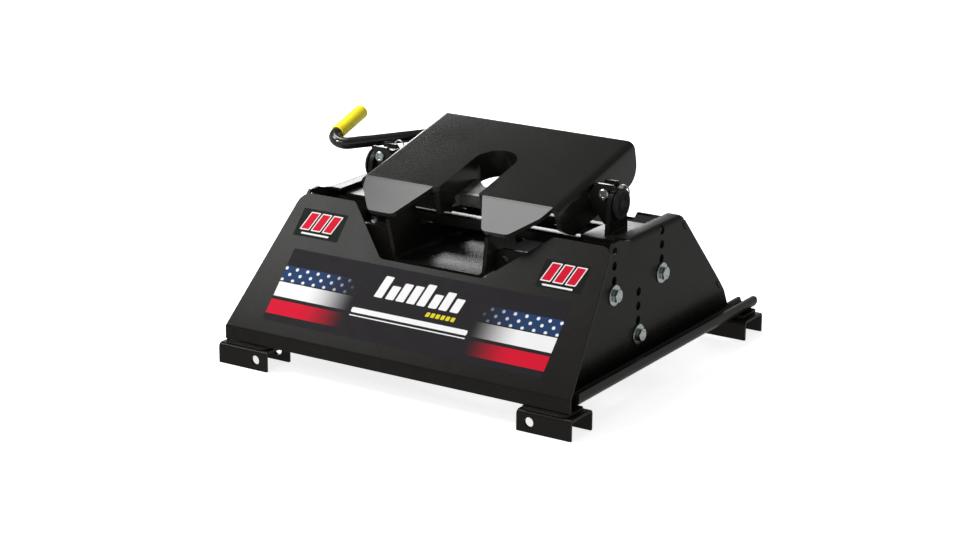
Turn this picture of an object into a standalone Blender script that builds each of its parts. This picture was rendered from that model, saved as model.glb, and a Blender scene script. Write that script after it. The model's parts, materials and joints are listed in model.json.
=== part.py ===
"""Fifth wheel hitch: welded base on rail feet, bolted centre section, tilting head.

Frame: +X is the right side, +Y points to the cab, +Z is up. The origin lies on the
surface under the four rail feet, midway between them.
The real object is laid out in inches, so sizes are given in inches times IN.
"""
import math

import bmesh
import bpy
from mathutils import Matrix, Vector

IN = 0.0254
GAP = 0.0004                      # clearance between pieces that touch

# Base
WEB_X = 11.17 * IN                # outer face of each side web
SHEET = 0.1875 * IN               # folded sheet of the base
BEND = 0.32 * IN                  # outer radius of the folds
FLANGE_X = 10.1 * IN              # inner edge of the top flange
WEB_TOP = 9.56 * IN
TOP_SEAM = 9.1 * IN               # where the web joins its top fold
SHELF_Z = 1.52 * IN               # underside of the shelf
LIP_X = 12.4 * IN
LIP_TOP = 2.42 * IN
SHELF_REAR, SHELF_FRONT = -10.7 * IN, 12.2 * IN
FLANGE_REAR, FLANGE_FRONT = -2.8 * IN, 3.73 * IN

# Rear label panel, sloping down and back from its top edge
PANEL_TOP = Vector((0, -5.2, 9.69)) * IN
PANEL_FOOT = Vector((0, -11.92, 2.37)) * IN
PANEL_LIP = 0.84 * IN
PANEL_HALF_TOP, PANEL_HALF_FOOT = 11.32 * IN, 12.5 * IN
NOTCH_HALF_TOP, NOTCH_HALF_FLOOR, NOTCH_DEPTH = 7.25 * IN, 3.72 * IN, 3.5 * IN

# Rail feet
RAIL_SPACING = 22.0 * IN
FOOT_LENGTH, FOOT_WIDTH, FOOT_HEIGHT = 3.69 * IN, 2.51 * IN, 1.3 * IN
FOOT_OUT_X = 12.78 * IN
FOOT_HOLE_X, FOOT_HOLE_Z, FOOT_HOLE_R = 9.95 * IN, 0.65 * IN, 0.3 * IN

# Bolted centre section
BOLT_R = 0.25 * IN
HOLE_R = 0.275 * IN
HOLE_PITCH = 0.9 * IN
BOLT_REAR = (-4.7 * IN, 6.6 * IN)
BOLT_FRONT = (1.15 * IN, 6.53 * IN)
BOLT_LOWER = (-1.65 * IN, 3.33 * IN)
BOLT_COLUMNS = (("rear", BOLT_REAR), ("front", BOLT_FRONT), ("lower", BOLT_LOWER))
COLUMN_HOLES = 4
WASHER_R = 0.645 * IN
END_PLATE = 0.25 * IN
TROUGH_FLOOR = 6.95 * IN
TROUGH_HALF, TROUGH_HALF_TOP, TROUGH_TOP = 3.1 * IN, 3.68 * IN, 10.75 * IN
BAR_TOP = 8.98 * IN               # top of the two cross bars
BAR_DEPTH = 0.7 * IN

# Head
PIVOT = Vector((0, -0.4, 10.9)) * IN
PITCH = math.radians(13.8)        # the head rests rear-down
HEAD_TOP = 1.37 * IN              # skid face above the pivot, square to the plate
HEAD_REAR, HEAD_FRONT = -4.08 * IN, 5.42 * IN
HEAD_HALF = 7.2 * IN
HEAD_PLATE = 0.31 * IN
HEAD_BEND = 0.5 * IN
HEAD_SKIRT = -1.2 * IN           # lower edge of the head's side walls
SLOT_HALF = 1.45 * IN
PIN_Y = 0.33 * IN                 # kingpin centre along the head
SLOT_MOUTH = 0.42 * IN            # how much each side widens at the fold
RAMP_LENGTH, RAMP_ANGLE = 2.68 * IN, math.radians(17)
SEAT_GAP, SEAT_THICK = 0.04 * IN, 0.36 * IN
SEAT_DEPTH = -0.5 * IN             # lower edge of the throat wall

# Pivots, outside the head's side walls; level, unlike the head
CHEEK_INNER, CHEEK = 0.42 * IN, 0.2 * IN
CLEVIS_PIN = (8.25 * IN, 0.63 * IN)       # from the pivot axis
CLEVIS_PIN_R = 0.2 * IN
CLIP_HOLE_Y, CLIP_HOLE_R = 1.3 * IN, 0.1 * IN
CLIP_R, CLIP_WIRE = 0.38 * IN, 0.05 * IN
CLIP_TURNS = {"right": math.radians(-30), "left": math.radians(118)}
TRUNNION_R = 0.36 * IN
STAND_X, STAND_THICK, STAND_R = 8.65 * IN, 0.3 * IN, 0.95 * IN
CAP_X = 9.07 * IN
BUSHING_R, BUSHING_BORE = 0.8 * IN, 0.5 * IN

# Lock
LOCK_TOP, LOCK_BOTTOM = -0.12 * IN, -1.0 * IN
LOCK_FRONT, LOCK_REAR = -0.5 * IN, -1.72 * IN
LOCK_SHOULDER = 0.27 * IN
LOCK_TIP, LOCK_TAIL = 1.95 * IN, -3.62 * IN
LEVER_AXIS = Vector((-5.75, 4.5, 0)) * IN     # in the head's frame
LEVER_PIN = Vector((-3.0, -1.0, 0)) * IN
LEVER_Z, LEVER_THICK = 0.3 * IN, 0.25 * IN
LEVER_BORE = 0.2 * IN
ROD_R = 0.385 * IN
ROD_BEND = 0.75 * IN
GRIP_SHARE, ROD_SHARE = 0.38, 0.93     # where the grip starts and the rod ends, past the elbow
STUD_R = 0.1 * IN
SPRING_STUD = Vector((-5.2, 3.35)) * IN
SPRING_POST = Vector((-0.6, 3.35)) * IN
GRIP_R = 0.47 * IN

LEVEL = Matrix.Translation(PIVOT)
HEAD = LEVEL @ Matrix.Rotation(PITCH, 4, 'X')
FRONT_VIEW = Matrix.Rotation(math.pi / 2, 4, 'X')            # local x, y to world X, Z
SIDE_VIEW = Matrix(((0, 0, 1, 0), (1, 0, 0, 0), (0, 1, 0, 0), (0, 0, 0, 1)))  # x, y to Y, Z
MATERIALS = {
    "black_powder_coat": ((0.022, 0.021, 0.018), 0.42, 0.0),
    "head_powder_coat": ((0.026, 0.025, 0.022), 0.38, 0.0),
    "zinc_plate": ((0.62, 0.66, 0.64), 0.3, 1.0),
    "machined_steel": ((0.5, 0.5, 0.48), 0.32, 1.0),
    "gloss_black_rod": ((0.012, 0.012, 0.012), 0.22, 0.0),
    "yellow_vinyl": ((0.83, 0.72, 0.02), 0.45, 0.0),
    "black_rubber": ((0.018, 0.018, 0.018), 0.75, 0.0),
    "spring_steel": ((0.35, 0.35, 0.35), 0.35, 1.0),
}


# --------------------------------------------------------------------- helpers

def start():
    for thing in list(bpy.data.objects):
        bpy.data.objects.remove(thing, do_unlink=True)
    groups = []
    for label in ("fifth_wheel_hitch", "cutters"):
        group = bpy.data.collections.new(label)
        bpy.context.scene.collection.children.link(group)
        groups.append(group)
    return groups


PARTS, CUTTERS = start()


def material(label):
    found = bpy.data.materials.get(label)
    if found:
        return found
    colour, roughness, metallic = MATERIALS[label]
    made = bpy.data.materials.new(label)
    made.use_nodes = True
    shader = made.node_tree.nodes["Principled BSDF"]
    shader.inputs["Base Color"].default_value = (*colour, 1)
    shader.inputs["Roughness"].default_value = roughness
    shader.inputs["Metallic"].default_value = metallic
    return made


def add_object(name, mesh, place=Matrix(), look=None):
    made = bpy.data.objects.new(name, mesh)
    made.matrix_world = place
    if look:
        PARTS.objects.link(made)
        mesh.materials.clear()
        mesh.materials.append(material(look))
    else:
        CUTTERS.objects.link(made)
        made.hide_render = True
        made.display_type = 'WIRE'
    return made


def finish_mesh(bm, name):
    mesh = bpy.data.meshes.new(name)
    bmesh.ops.recalc_face_normals(bm, faces=bm.faces)
    bm.to_mesh(mesh)
    bm.free()
    return mesh


def box(name, low, high, look=None, place=Matrix()):
    """An upright block between two corners of the placing frame."""
    low, high = Vector(low), Vector(high)
    bm = bmesh.new()
    bmesh.ops.create_cube(bm, size=1)
    size = high - low
    bmesh.ops.scale(bm, vec=size, verts=bm.verts)
    bmesh.ops.translate(bm, vec=(low + high) / 2, verts=bm.verts)
    return add_object(name, finish_mesh(bm, name), place, look)


def cylinder(name, centre, axis, radius, length, look=None, sides=32, place=Matrix()):
    """A cylinder centred on a point, along an axis."""
    turn = Vector((0, 0, 1)).rotation_difference(Vector(axis)).to_matrix().to_4x4()
    bm = bmesh.new()
    bmesh.ops.create_cone(bm, cap_ends=True, segments=sides, radius1=radius, radius2=radius,
                          depth=length, matrix=Matrix.Translation(centre) @ turn)
    made = add_object(name, finish_mesh(bm, name), place, look)
    return shade(made)


def shade(made, angle=40):
    made.data.shade_smooth()
    made.data.set_sharp_from_angle(angle=math.radians(angle))
    return made


def rounded(points, radii, steps=5):
    """The closed outline through the points, with each corner rounded to its radius."""
    points = [Vector(p) for p in points]
    if not isinstance(radii, (list, tuple)):
        radii = [radii] * len(points)
    outline = []
    for index, corner in enumerate(points):
        radius = radii[index]
        if radius <= 0:
            outline.append(corner)
            continue
        before = (points[index - 1] - corner).normalized()
        after = (points[(index + 1) % len(points)] - corner).normalized()
        half = before.angle(after) / 2
        centre = corner + (before + after).normalized() * radius / math.sin(half)
        first = corner + before * radius / math.tan(half) - centre
        last = corner + after * radius / math.tan(half) - centre
        sweep = first.angle_signed(last)
        for step in range(steps + 1):
            turn = Matrix.Rotation(-sweep * step / steps, 2)
            outline.append(centre + turn @ first)
    return outline


def circle(centre, radius, sides=24):
    turns = [math.tau * k / sides for k in range(sides)]
    return [Vector((centre[0] + radius * math.cos(t), centre[1] + radius * math.sin(t)))
            for t in turns]


def curve_to_mesh(name, curve):
    holder = bpy.data.objects.new(name + "_curve", curve)
    bpy.context.scene.collection.objects.link(holder)
    seen = holder.evaluated_get(bpy.context.evaluated_depsgraph_get())
    mesh = bpy.data.meshes.new_from_object(seen)
    bpy.data.objects.remove(holder, do_unlink=True)
    bm = bmesh.new()
    bm.from_mesh(mesh)
    bmesh.ops.remove_doubles(bm, verts=bm.verts, dist=1e-6)
    bmesh.ops.recalc_face_normals(bm, faces=bm.faces)
    bm.to_mesh(mesh)
    bm.free()
    return mesh


def plate(name, outline, thickness, place, look=None, holes=()):
    """A flat plate: outline in the local XY plane, from z = 0 up by its thickness."""
    curve = bpy.data.curves.new(name, 'CURVE')
    curve.dimensions = '2D'
    curve.fill_mode = 'BOTH'
    curve.extrude = thickness / 2
    for loop in (outline, *holes):
        spline = curve.splines.new('POLY')
        spline.points.add(len(loop) - 1)
        for point, spot in zip(spline.points, loop):
            point.co = (spot[0], spot[1], 0, 1)
        spline.use_cyclic_u = True
    mesh = curve_to_mesh(name, curve)
    mesh.transform(Matrix.Translation((0, 0, thickness / 2)))
    return shade(add_object(name, mesh, place, look))


def tube(name, points, radius, look, place=Matrix(), resolution=4, closed=False):
    """A round bar along a chain of points."""
    curve = bpy.data.curves.new(name, 'CURVE')
    curve.dimensions = '3D'
    curve.bevel_depth = radius
    curve.bevel_resolution = resolution
    curve.use_fill_caps = not closed
    spline = curve.splines.new('POLY')
    spline.points.add(len(points) - 1)
    for point, spot in zip(spline.points, points):
        point.co = (*spot, 1)
    spline.use_cyclic_u = closed
    return shade(add_object(name, curve_to_mesh(name, curve), place, look))


def bend_path(points, radius, steps=6):
    """An open chain of 3-D points with its inner corners rounded."""
    points = [Vector(p) for p in points]
    chain = [points[0]]
    for before, corner, after in zip(points, points[1:], points[2:]):
        back, ahead = (before - corner).normalized(), (after - corner).normalized()
        half = back.angle(ahead) / 2
        centre = corner + (back + ahead).normalized() * radius / math.sin(half)
        first = corner + back * radius / math.tan(half) - centre
        last = corner + ahead * radius / math.tan(half) - centre
        for step in range(steps + 1):
            spoke = first.normalized().slerp(last.normalized(), step / steps)
            chain.append(centre + spoke * radius)
    return chain + [points[-1]]


def folded_sheet(name, section, low, high, thickness, place, look=None):
    """A sheet folded along a chain of local XY points and run from z = low to z = high.

    The chain is the outer face; the thickness lies to the left of its direction."""
    bm = bmesh.new()
    rows = [[bm.verts.new((x, y, z)) for x, y in section] for z in (low, high)]
    for k in range(len(section) - 1):
        bm.faces.new((rows[0][k], rows[0][k + 1], rows[1][k + 1], rows[1][k]))
    mesh = bpy.data.meshes.new(name)
    bm.to_mesh(mesh)
    bm.free()
    made = add_object(name, mesh, place, look)
    solid = made.modifiers.new("thickness", 'SOLIDIFY')
    solid.thickness = thickness
    solid.offset = -1
    solid.use_even_offset = True
    return shade(made)


def open_section(points, radius, steps=4):
    """An open 2-D chain with rounded folds."""
    chain = bend_path([(x, y, 0) for x, y in points], radius, steps)
    return [(p.x, p.y) for p in chain]


def boolean(made, other, operation):
    step = made.modifiers.new(operation.lower(), 'BOOLEAN')
    step.operation = operation
    step.solver = 'EXACT'
    step.object = other
    return made


def cut(made, *cutters):
    for cutter in cutters:
        boolean(made, cutter, 'DIFFERENCE')
    return made


def join(made, *others):
    for other in others:
        boolean(made, other, 'UNION')
    return made


def other_side(made, name):
    """The mirror image of a finished right-hand piece, as its own object."""
    seen = made.evaluated_get(bpy.context.evaluated_depsgraph_get())
    mesh = bpy.data.meshes.new_from_object(seen)
    mesh.transform(Matrix.Diagonal((-1, 1, 1, 1)) @ made.matrix_world)
    mesh.flip_normals()
    twin = bpy.data.objects.new(name, mesh)
    PARTS.objects.link(twin)
    return twin


def inches(*pairs):
    return [(x * IN, y * IN) for x, y in pairs]


# ------------------------------------------------------------------------ base

def slope_frame(top, foot):
    """A frame on a sloping panel: y runs up the slope, z out of its face."""
    up = (top - foot).normalized()
    out = Vector((1, 0, 0)).cross(up)
    turn = Matrix((Vector((1, 0, 0)), up, out)).transposed().to_4x4()
    return Matrix.Translation(top) @ turn


PANEL = slope_frame(PANEL_TOP, PANEL_FOOT)
PANEL_SLOPE = (PANEL_TOP - PANEL_FOOT).length
FRONT_TOP = Vector((0, 3.55, 9.2)) * IN
FRONT_FOOT = Vector((0, 9.3, 3.2)) * IN


def rear_panel():
    fold = open_section([(PANEL_TOP.y, PANEL_TOP.z), (PANEL_FOOT.y, PANEL_FOOT.z),
                         (PANEL_FOOT.y, PANEL_FOOT.z - PANEL_LIP)], BEND)
    made = folded_sheet("rear_panel", fold, -PANEL_HALF_FOOT, PANEL_HALF_FOOT, SHEET,
                        SIDE_VIEW, "black_powder_coat")
    below = -PANEL_SLOPE - 1.5 * PANEL_LIP
    top_corner = 0.85 * IN
    blank = rounded([(-PANEL_HALF_TOP, 0.0004), (-PANEL_HALF_FOOT, -PANEL_SLOPE),
                     (-PANEL_HALF_FOOT, below), (PANEL_HALF_FOOT, below),
                     (PANEL_HALF_FOOT, -PANEL_SLOPE), (PANEL_HALF_TOP, 0.0004)],
                    [top_corner, 0, 0, 0, 0, top_corner])
    shape = plate("rear_panel_blank", blank, 3 * IN, PANEL @ Matrix.Translation((0, 0, -2 * IN)))
    boolean(made, shape, 'INTERSECT')
    return cut(made, notch_cutter())


def notch_cutter():
    """The opening in the middle of the panel's top edge, which the trough fills."""
    mouth = 1.2 * IN
    top = 0.0001
    half = [(NOTCH_HALF_TOP + mouth, mouth), (NOTCH_HALF_TOP + mouth, top), (NOTCH_HALF_TOP, top),
            (NOTCH_HALF_FLOOR, -NOTCH_DEPTH)]
    radii = [0, 0, 0.5 * IN, 0.55 * IN]
    outline = half + [(-x, y) for x, y in reversed(half)]
    place = PANEL @ Matrix.Translation((0, 0, -0.7 * IN))
    return plate("rear_panel_notch", rounded(outline, radii + radii[::-1]), 1.2 * IN, place)


def front_panel_frame():
    up = (FRONT_TOP - FRONT_FOOT).normalized()
    out = up.cross(Vector((1, 0, 0)))
    turn = Matrix((Vector((-1, 0, 0)), up, out)).transposed().to_4x4()
    return Matrix.Translation(FRONT_TOP) @ turn


def front_panel():
    """The plate between the webs at the front, held by tabs through the webs."""
    length = (FRONT_TOP - FRONT_FOOT).length
    inner = WEB_X - SHEET - GAP
    tab_out = WEB_X + 0.05 * IN
    tab, inset = 0.6 * IN, 0.35 * IN
    right = [(inner, -length), (inner, -length + inset), (tab_out, -length + inset),
             (tab_out, -length + inset + tab), (inner, -length + inset + tab),
             (inner, -inset - tab), (tab_out, -inset - tab), (tab_out, -inset),
             (inner, -inset), (inner, 0)]
    notch = [(8.0 * IN, 0), (7.5 * IN, -0.8 * IN)]
    half = right + notch
    outline = half + [(-x, y) for x, y in reversed(half)]
    half_radii = [0] * (len(right) - 1) + [0.3 * IN, 0.3 * IN, 0.2 * IN]
    radii = half_radii + half_radii[::-1]
    frame = front_panel_frame()
    made = plate("front_panel", rounded(outline, radii), SHEET, frame, "black_powder_coat")
    return made, frame, (length, tab, inset)


def side_frame(panel_frame, tabs):
    """The right-hand web with its top flange, its shelf and the shelf's upturned lip."""
    made = folded_sheet("side_frame_right", shelf_section(), -SHELF_FRONT, -SHELF_REAR, SHEET,
                        FRONT_VIEW, "black_powder_coat")
    top = folded_sheet("side_top_fold", top_section(), -FLANGE_FRONT - 0.2 * IN, -FLANGE_REAR,
                       SHEET, FRONT_VIEW)
    strip = box("side_top_strip", (WEB_X - SHEET, -6.2 * IN, TOP_SEAM),
                (WEB_X, FLANGE_REAR + 0.0002, WEB_TOP + 0.25 * IN))
    join(made, top, strip)
    scoop = 2.6 * IN
    cut(made, cylinder("web_scoop", (WEB_X, FLANGE_REAR, WEB_TOP + scoop), (1, 0, 0), scoop, 1 * IN,
                       sides=96))
    cut(made, *web_cutters(), *web_holes("side", WEB_X, 0.5 * IN, COLUMN_HOLES))
    return cut(made, *tab_slots(panel_frame, tabs))


def shelf_section():
    """Web, shelf and upturned lip, as the faces that look out and down."""
    floor, lip = SHELF_Z + SHEET, LIP_X - SHEET
    chain = open_section([(WEB_X, TOP_SEAM + 0.1 * IN), (WEB_X, floor), (lip, floor),
                          (lip, LIP_TOP)], BEND)
    return chain[::-1]


def top_section():
    return open_section([(WEB_X, TOP_SEAM), (WEB_X, WEB_TOP), (FLANGE_X, WEB_TOP)], BEND)


def web_cutters():
    """What is cut away before and behind the web, and the lip's rounded front corner."""
    across = 1.5 * IN
    place = Matrix.Translation((WEB_X + 0.3 * IN - across, 0, 0)) @ SIDE_VIEW
    front = rounded(inches((3.73, 10.2), (3.73, 9.58), (9.03, 4.04), (9.79, 3.17), (10.35, 2.05),
                           (13, 2.05), (13, 10.2)), [0, 0.3 * IN, 0, 0.5 * IN, 0, 0, 0])
    inner = SHEET + GAP
    back = [PANEL @ Vector((0, y, -inner)) for y in (0.5 * IN, -PANEL_SLOPE - 0.5 * IN)]
    rear = [(back[0].y, back[0].z), (back[1].y, back[1].z), (-14 * IN, back[1].z),
            (-14 * IN, back[0].z)]
    lip = rounded(inches((12.5, 2.7), (12.5, 1.2), (12.21, 1.2), (12.21, 2.43), (10, 2.43),
                         (10, 2.7)), [0, 0, 0, 0.5 * IN, 0, 0])
    wide = Matrix.Translation((WEB_X - 1.5 * IN, 0, 0)) @ SIDE_VIEW
    shelf = Matrix.Translation((WEB_X + 0.6 * IN, 0, 0)) @ SIDE_VIEW
    return (plate("web_front_cut", front, across, place), plate("web_rear_cut", rear, 3 * IN, wide),
            plate("lip_corner_cut", lip, 1 * IN, shelf))


def web_holes(label, x, depth, rows, radius=HOLE_R):
    made = []
    for column, (y, z) in BOLT_COLUMNS:
        for row in range(rows):
            made.append(cylinder(f"{label}_hole_{column}_{row}", (x, y, z + row * HOLE_PITCH),
                                 (1, 0, 0), radius, depth, sides=20))
    return made


def tab_slots(frame, tabs):
    length, tab, inset = tabs
    made = []
    for index, low in enumerate((-length + inset, -inset - tab)):
        made.append(box(f"tab_slot_{index}", (-WEB_X - 0.2 * IN, low - GAP, -GAP),
                        (-WEB_X + 0.5 * IN, low + tab + GAP, SHEET + GAP), place=frame))
    return made


def foot(name, side, row):
    """A rail foot: an inverted channel with a pin hole through both legs."""
    half = FOOT_WIDTH / 2
    section = open_section([(-half, 0), (-half, FOOT_HEIGHT), (half, FOOT_HEIGHT), (half, 0)][::-1],
                           0.28 * IN)
    centre_y = row * RAIL_SPACING / 2
    low, high = sorted((side * FOOT_OUT_X, side * (FOOT_OUT_X - FOOT_LENGTH)))
    place = Matrix.Translation((0, centre_y, 0)) @ SIDE_VIEW
    made = folded_sheet(name, section, low, high, SHEET, place, "black_powder_coat")
    hole = cylinder(name + "_hole", (side * FOOT_HOLE_X, centre_y, FOOT_HOLE_Z), (0, 1, 0),
                    FOOT_HOLE_R, 4 * IN, sides=24)
    return cut(made, hole)


def foot_pad(name, side, row):
    """The spacer welded between a foot and the shelf above it."""
    out, inner = 12.45 * IN, 9.3 * IN
    low, high = sorted((side * inner, side * out))
    centre = row * (RAIL_SPACING / 2 + 0.1 * IN)
    half = 0.95 * IN
    outline = rounded([(low, centre - half), (high, centre - half), (high, centre + half),
                       (low, centre + half)], 0.2 * IN, 3)
    bottom = FOOT_HEIGHT + GAP
    place = Matrix.Translation((0, 0, bottom))
    return plate(name, outline, SHELF_Z - GAP - bottom, place, "black_powder_coat")


# -------------------------------------------------------------- centre section

def trough():
    """The folded throat trough that carries a kingpin into the head."""
    half, flare = TROUGH_HALF, TROUGH_HALF_TOP
    section = open_section([(-flare, TROUGH_TOP), (-half, TROUGH_FLOOR), (half, TROUGH_FLOOR),
                            (flare, TROUGH_TOP)][::-1], BEND)
    made = folded_sheet("throat_trough", section, -2.2 * IN, 7.2 * IN, 0.25 * IN, FRONT_VIEW,
                        "black_powder_coat")
    rear = inches((-7.6, 10.2), (-6.98, 9.92), (-6.7, 6.9), (-6.7, 6.4), (-7.6, 6.4))
    top = rounded(inches((-7.8, 9.42), (-6.95, 9.42), (-4.9, 10.6), (-4.3, 10.6), (-3.5, 8.25),
                         (2.6, 8.25), (2.6, 11.5), (-7.8, 11.5)),
                  [0, 0.2 * IN, 0.1 * IN, 0.3 * IN, 0.4 * IN, 0, 0, 0])
    place = Matrix.Translation((-4 * IN, 0, 0)) @ SIDE_VIEW
    return cut(made, plate("trough_rear_cut", rear, 8 * IN, place),
               plate("trough_top_cut", top, 8 * IN, place))


def cross_bar(name, y, facing):
    """A formed bar across the centre section, its open side facing the trough."""
    end = WEB_X - SHEET - END_PLATE - 4 * GAP
    low = BAR_TOP - BAR_DEPTH
    depth = 1.0 * IN
    section = open_section([(y, low), (y, BAR_TOP), (y + facing * depth, BAR_TOP),
                            (y + facing * depth, BAR_TOP - 0.35 * IN)][::facing], 0.22 * IN)
    return folded_sheet(name, section[::-1], -end, end, 0.2 * IN, SIDE_VIEW, "black_powder_coat")


def cross_plates():
    """The two plates behind the trough and the one in front of it."""
    end = WEB_X - SHEET - END_PLATE - 4 * GAP
    low, high = 6.1 * IN, 8.55 * IN
    lean = (TROUGH_HALF_TOP - TROUGH_HALF) / (TROUGH_TOP - TROUGH_FLOOR)
    clear = 0.27 * IN / math.cos(math.atan(lean)) + GAP
    inner = [TROUGH_HALF + clear + lean * (z - TROUGH_FLOOR) for z in (low, high)]
    outline = rounded([(inner[0], low), (end, low), (end, high), (inner[1], high)],
                      [0, 0, 0.5 * IN, 0.5 * IN])
    place = Matrix.Translation((0, -5.45 * IN, 0)) @ FRONT_VIEW
    right = plate("rear_cross_plate_right", outline, END_PLATE, place, "black_powder_coat",
                  [circle((inner[0] + 0.9 * IN, 7.9 * IN), 0.2 * IN, 16)])
    left = other_side(right, "rear_cross_plate_left")
    across = rounded([(-end, low), (end, low), (end, BAR_TOP - BAR_DEPTH - 2 * GAP),
                      (-end, BAR_TOP - BAR_DEPTH - 2 * GAP)], 0)
    front_place = Matrix.Translation((0, 2.2 * IN + END_PLATE + GAP, 0)) @ FRONT_VIEW
    front = plate("front_cross_plate", across, END_PLATE, front_place, "black_powder_coat",
                  [circle((side * 6.5 * IN, 7.2 * IN), 0.55 * IN) for side in (-1, 1)])
    return right, left, front


def end_plate():
    """The plate bolted inside a web, with three weld nuts on its inner face."""
    outline = rounded(inches((-5.35, 8.9), (-5.45, 5.9), (-2.45, 2.7), (-0.85, 2.7), (2.05, 5.9),
                             (2.05, 8.9)),
                      [0.4 * IN, 0.7 * IN, 0.6 * IN, 0.6 * IN, 0.7 * IN, 0.4 * IN])
    inner = WEB_X - SHEET - GAP - END_PLATE
    place = Matrix.Translation((inner, 0, 0)) @ SIDE_VIEW
    made = plate("end_plate_right", outline, END_PLATE, place, "black_powder_coat")
    for column, (y, z) in BOLT_COLUMNS:
        join(made, cylinder(f"weld_nut_{column}", (inner - 0.18 * IN, y, z), (1, 0, 0), 0.433 * IN,
                            0.42 * IN, sides=6))
    return cut(made, *web_holes("end_plate", inner, 2 * IN, 1, BOLT_R + GAP))


def hex_bolt(name, tip, axis, length, size=0.375 * IN, radius=BOLT_R, place=Matrix()):
    """A hex bolt: the underside of its head at the tip point, its shank along the axis.

    Its size is half the width across flats."""
    axis, tip = Vector(axis), Vector(tip)
    depth = 0.72 * size
    made = cylinder(name, tip - axis * depth / 2, axis, size / math.cos(math.pi / 6), depth,
                    "zinc_plate", sides=6, place=place)
    crown = chamfer_cone(name + "_crown", tip, axis, size, depth, place)
    boolean(made, crown, 'INTERSECT')
    shank = cylinder(name + "_shank", tip + axis * (length / 2 - 0.0005), axis, radius - GAP,
                     length + 0.001, sides=20, place=place)
    return join(made, shank)


def chamfer_cone(name, tip, axis, size, depth, place):
    """The cone that rounds off the corners of a hex head's outer face."""
    turn = Vector((0, 0, 1)).rotation_difference(-axis).to_matrix().to_4x4()
    wide = size / math.cos(math.pi / 6)
    bm = bmesh.new()
    bmesh.ops.create_cone(bm, cap_ends=True, segments=32, radius1=wide + 1.2 * depth,
                          radius2=size * 0.95, depth=1.6 * depth,
                          matrix=Matrix.Translation(tip - axis * 0.2 * depth) @ turn)
    return add_object(name, finish_mesh(bm, name), place)


def washer(name, centre, axis, outer, inner, thickness, place=Matrix()):
    made = cylinder(name, centre, axis, outer, thickness, "zinc_plate", sides=32, place=place)
    return cut(made, cylinder(name + "_bore", centre, axis, inner, 3 * thickness, sides=20,
                              place=place))


def frame_fasteners():
    """The three bolts and washers on each side that hold the centre section."""
    thick = 0.1 * IN
    for side, word in ((1, "right"), (-1, "left")):
        for label, (y, z) in BOLT_COLUMNS:
            axis = Vector((-side, 0, 0))
            face = Vector((side * (WEB_X + GAP), y, z))
            washer(f"frame_washer_{word}_{label}", face - axis * thick / 2, axis, WASHER_R,
                   BOLT_R + GAP, thick)
            hex_bolt(f"frame_bolt_{word}_{label}", face - axis * (thick + GAP), axis, 1.1 * IN)


def pivot_stand():
    """The upright that carries a trunnion bushing, on a base across the cross bars."""
    base, flare = BAR_TOP + GAP, 0.25 * IN
    arc = [(PIVOT.y + STAND_R * math.cos(t), PIVOT.z + STAND_R * math.sin(t))
           for t in [math.pi * k / 14 for k in range(15)]]
    outline = arc + [(PIVOT.y - STAND_R - flare, base), (PIVOT.y + STAND_R + flare, base)]
    place = Matrix.Translation((STAND_X, 0, 0)) @ SIDE_VIEW
    made = plate("pivot_stand_right", outline, STAND_THICK, place, "black_powder_coat",
                 [circle((PIVOT.y, PIVOT.z), BUSHING_R, 32)])
    return join(made, box("stand_base", (7.55 * IN, -2.55 * IN, base),
                          (9.9 * IN, 1.75 * IN, base + 0.25 * IN)))


def bushing():
    """The rubber bushing pressed in a stand, around the trunnion."""
    centre = (STAND_X + STAND_THICK / 2, PIVOT.y, PIVOT.z)
    made = cylinder("pivot_bushing_right", centre, (1, 0, 0), BUSHING_R - GAP,
                    STAND_THICK + 0.04 * IN, "black_rubber")
    return cut(made, cylinder("bushing_bore", centre, (1, 0, 0), BUSHING_BORE, 1 * IN))


# ------------------------------------------------------------------------ head

def skid_plate():
    """Top plate with side walls folded down, a kingpin slot and two ramp wings."""
    low = HEAD_SKIRT
    section = open_section([(HEAD_HALF, low), (HEAD_HALF, HEAD_TOP), (-HEAD_HALF, HEAD_TOP),
                            (-HEAD_HALF, low)], HEAD_BEND, 6)
    made = folded_sheet("skid_plate", section, -HEAD_FRONT, -HEAD_REAR, HEAD_PLATE,
                        HEAD @ FRONT_VIEW, "head_powder_coat")
    wall = rounded([(HEAD_REAR + 0.15 * IN, -0.2 * IN), (-2.6 * IN, low),
                    (HEAD_FRONT - 0.02 * IN, low), (HEAD_FRONT + 0.001, 2 * IN),
                    (HEAD_REAR - 0.01, 2 * IN), (HEAD_REAR, 1 * IN)],
                   [0.3 * IN, 0.5 * IN, 1.2 * IN, 0, 0, 0])
    across = HEAD @ Matrix.Translation((-9 * IN, 0, 0)) @ SIDE_VIEW
    boolean(made, plate("skirt_shape", wall, 18 * IN, across), 'INTERSECT')
    join(made, ramp(1), ramp(-1), *lever_boss(), spring_post())
    return cut(made, boss_bore(), slot_cutter(), rod_window())


def lever_boss():
    """The boss under the plate that the lever bolt hangs from."""
    under, low = HEAD_TOP - HEAD_PLATE, LEVER_Z + LEVER_THICK / 2 + 2 * GAP
    into_plate = 0.001
    return [cylinder("lever_boss", (LEVER_AXIS.x, LEVER_AXIS.y, (low + under + into_plate) / 2),
                     (0, 0, 1), 0.36 * IN, under + into_plate - low, sides=24, place=HEAD)]


def boss_bore():
    """The bore of the boss, which stops under the skid face."""
    top, low = HEAD_TOP - HEAD_PLATE, 0
    return cylinder("boss_bore", (LEVER_AXIS.x, LEVER_AXIS.y, (top + low) / 2), (0, 0, 1),
                    LEVER_BORE + GAP, top - low, sides=20, place=HEAD)


def spring_post():
    height = 0.8 * IN
    return cylinder("spring_post", (*SPRING_POST, LEVER_Z + height / 2), (0, 0, 1), STUD_R, height,
                    sides=16, place=HEAD)


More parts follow.
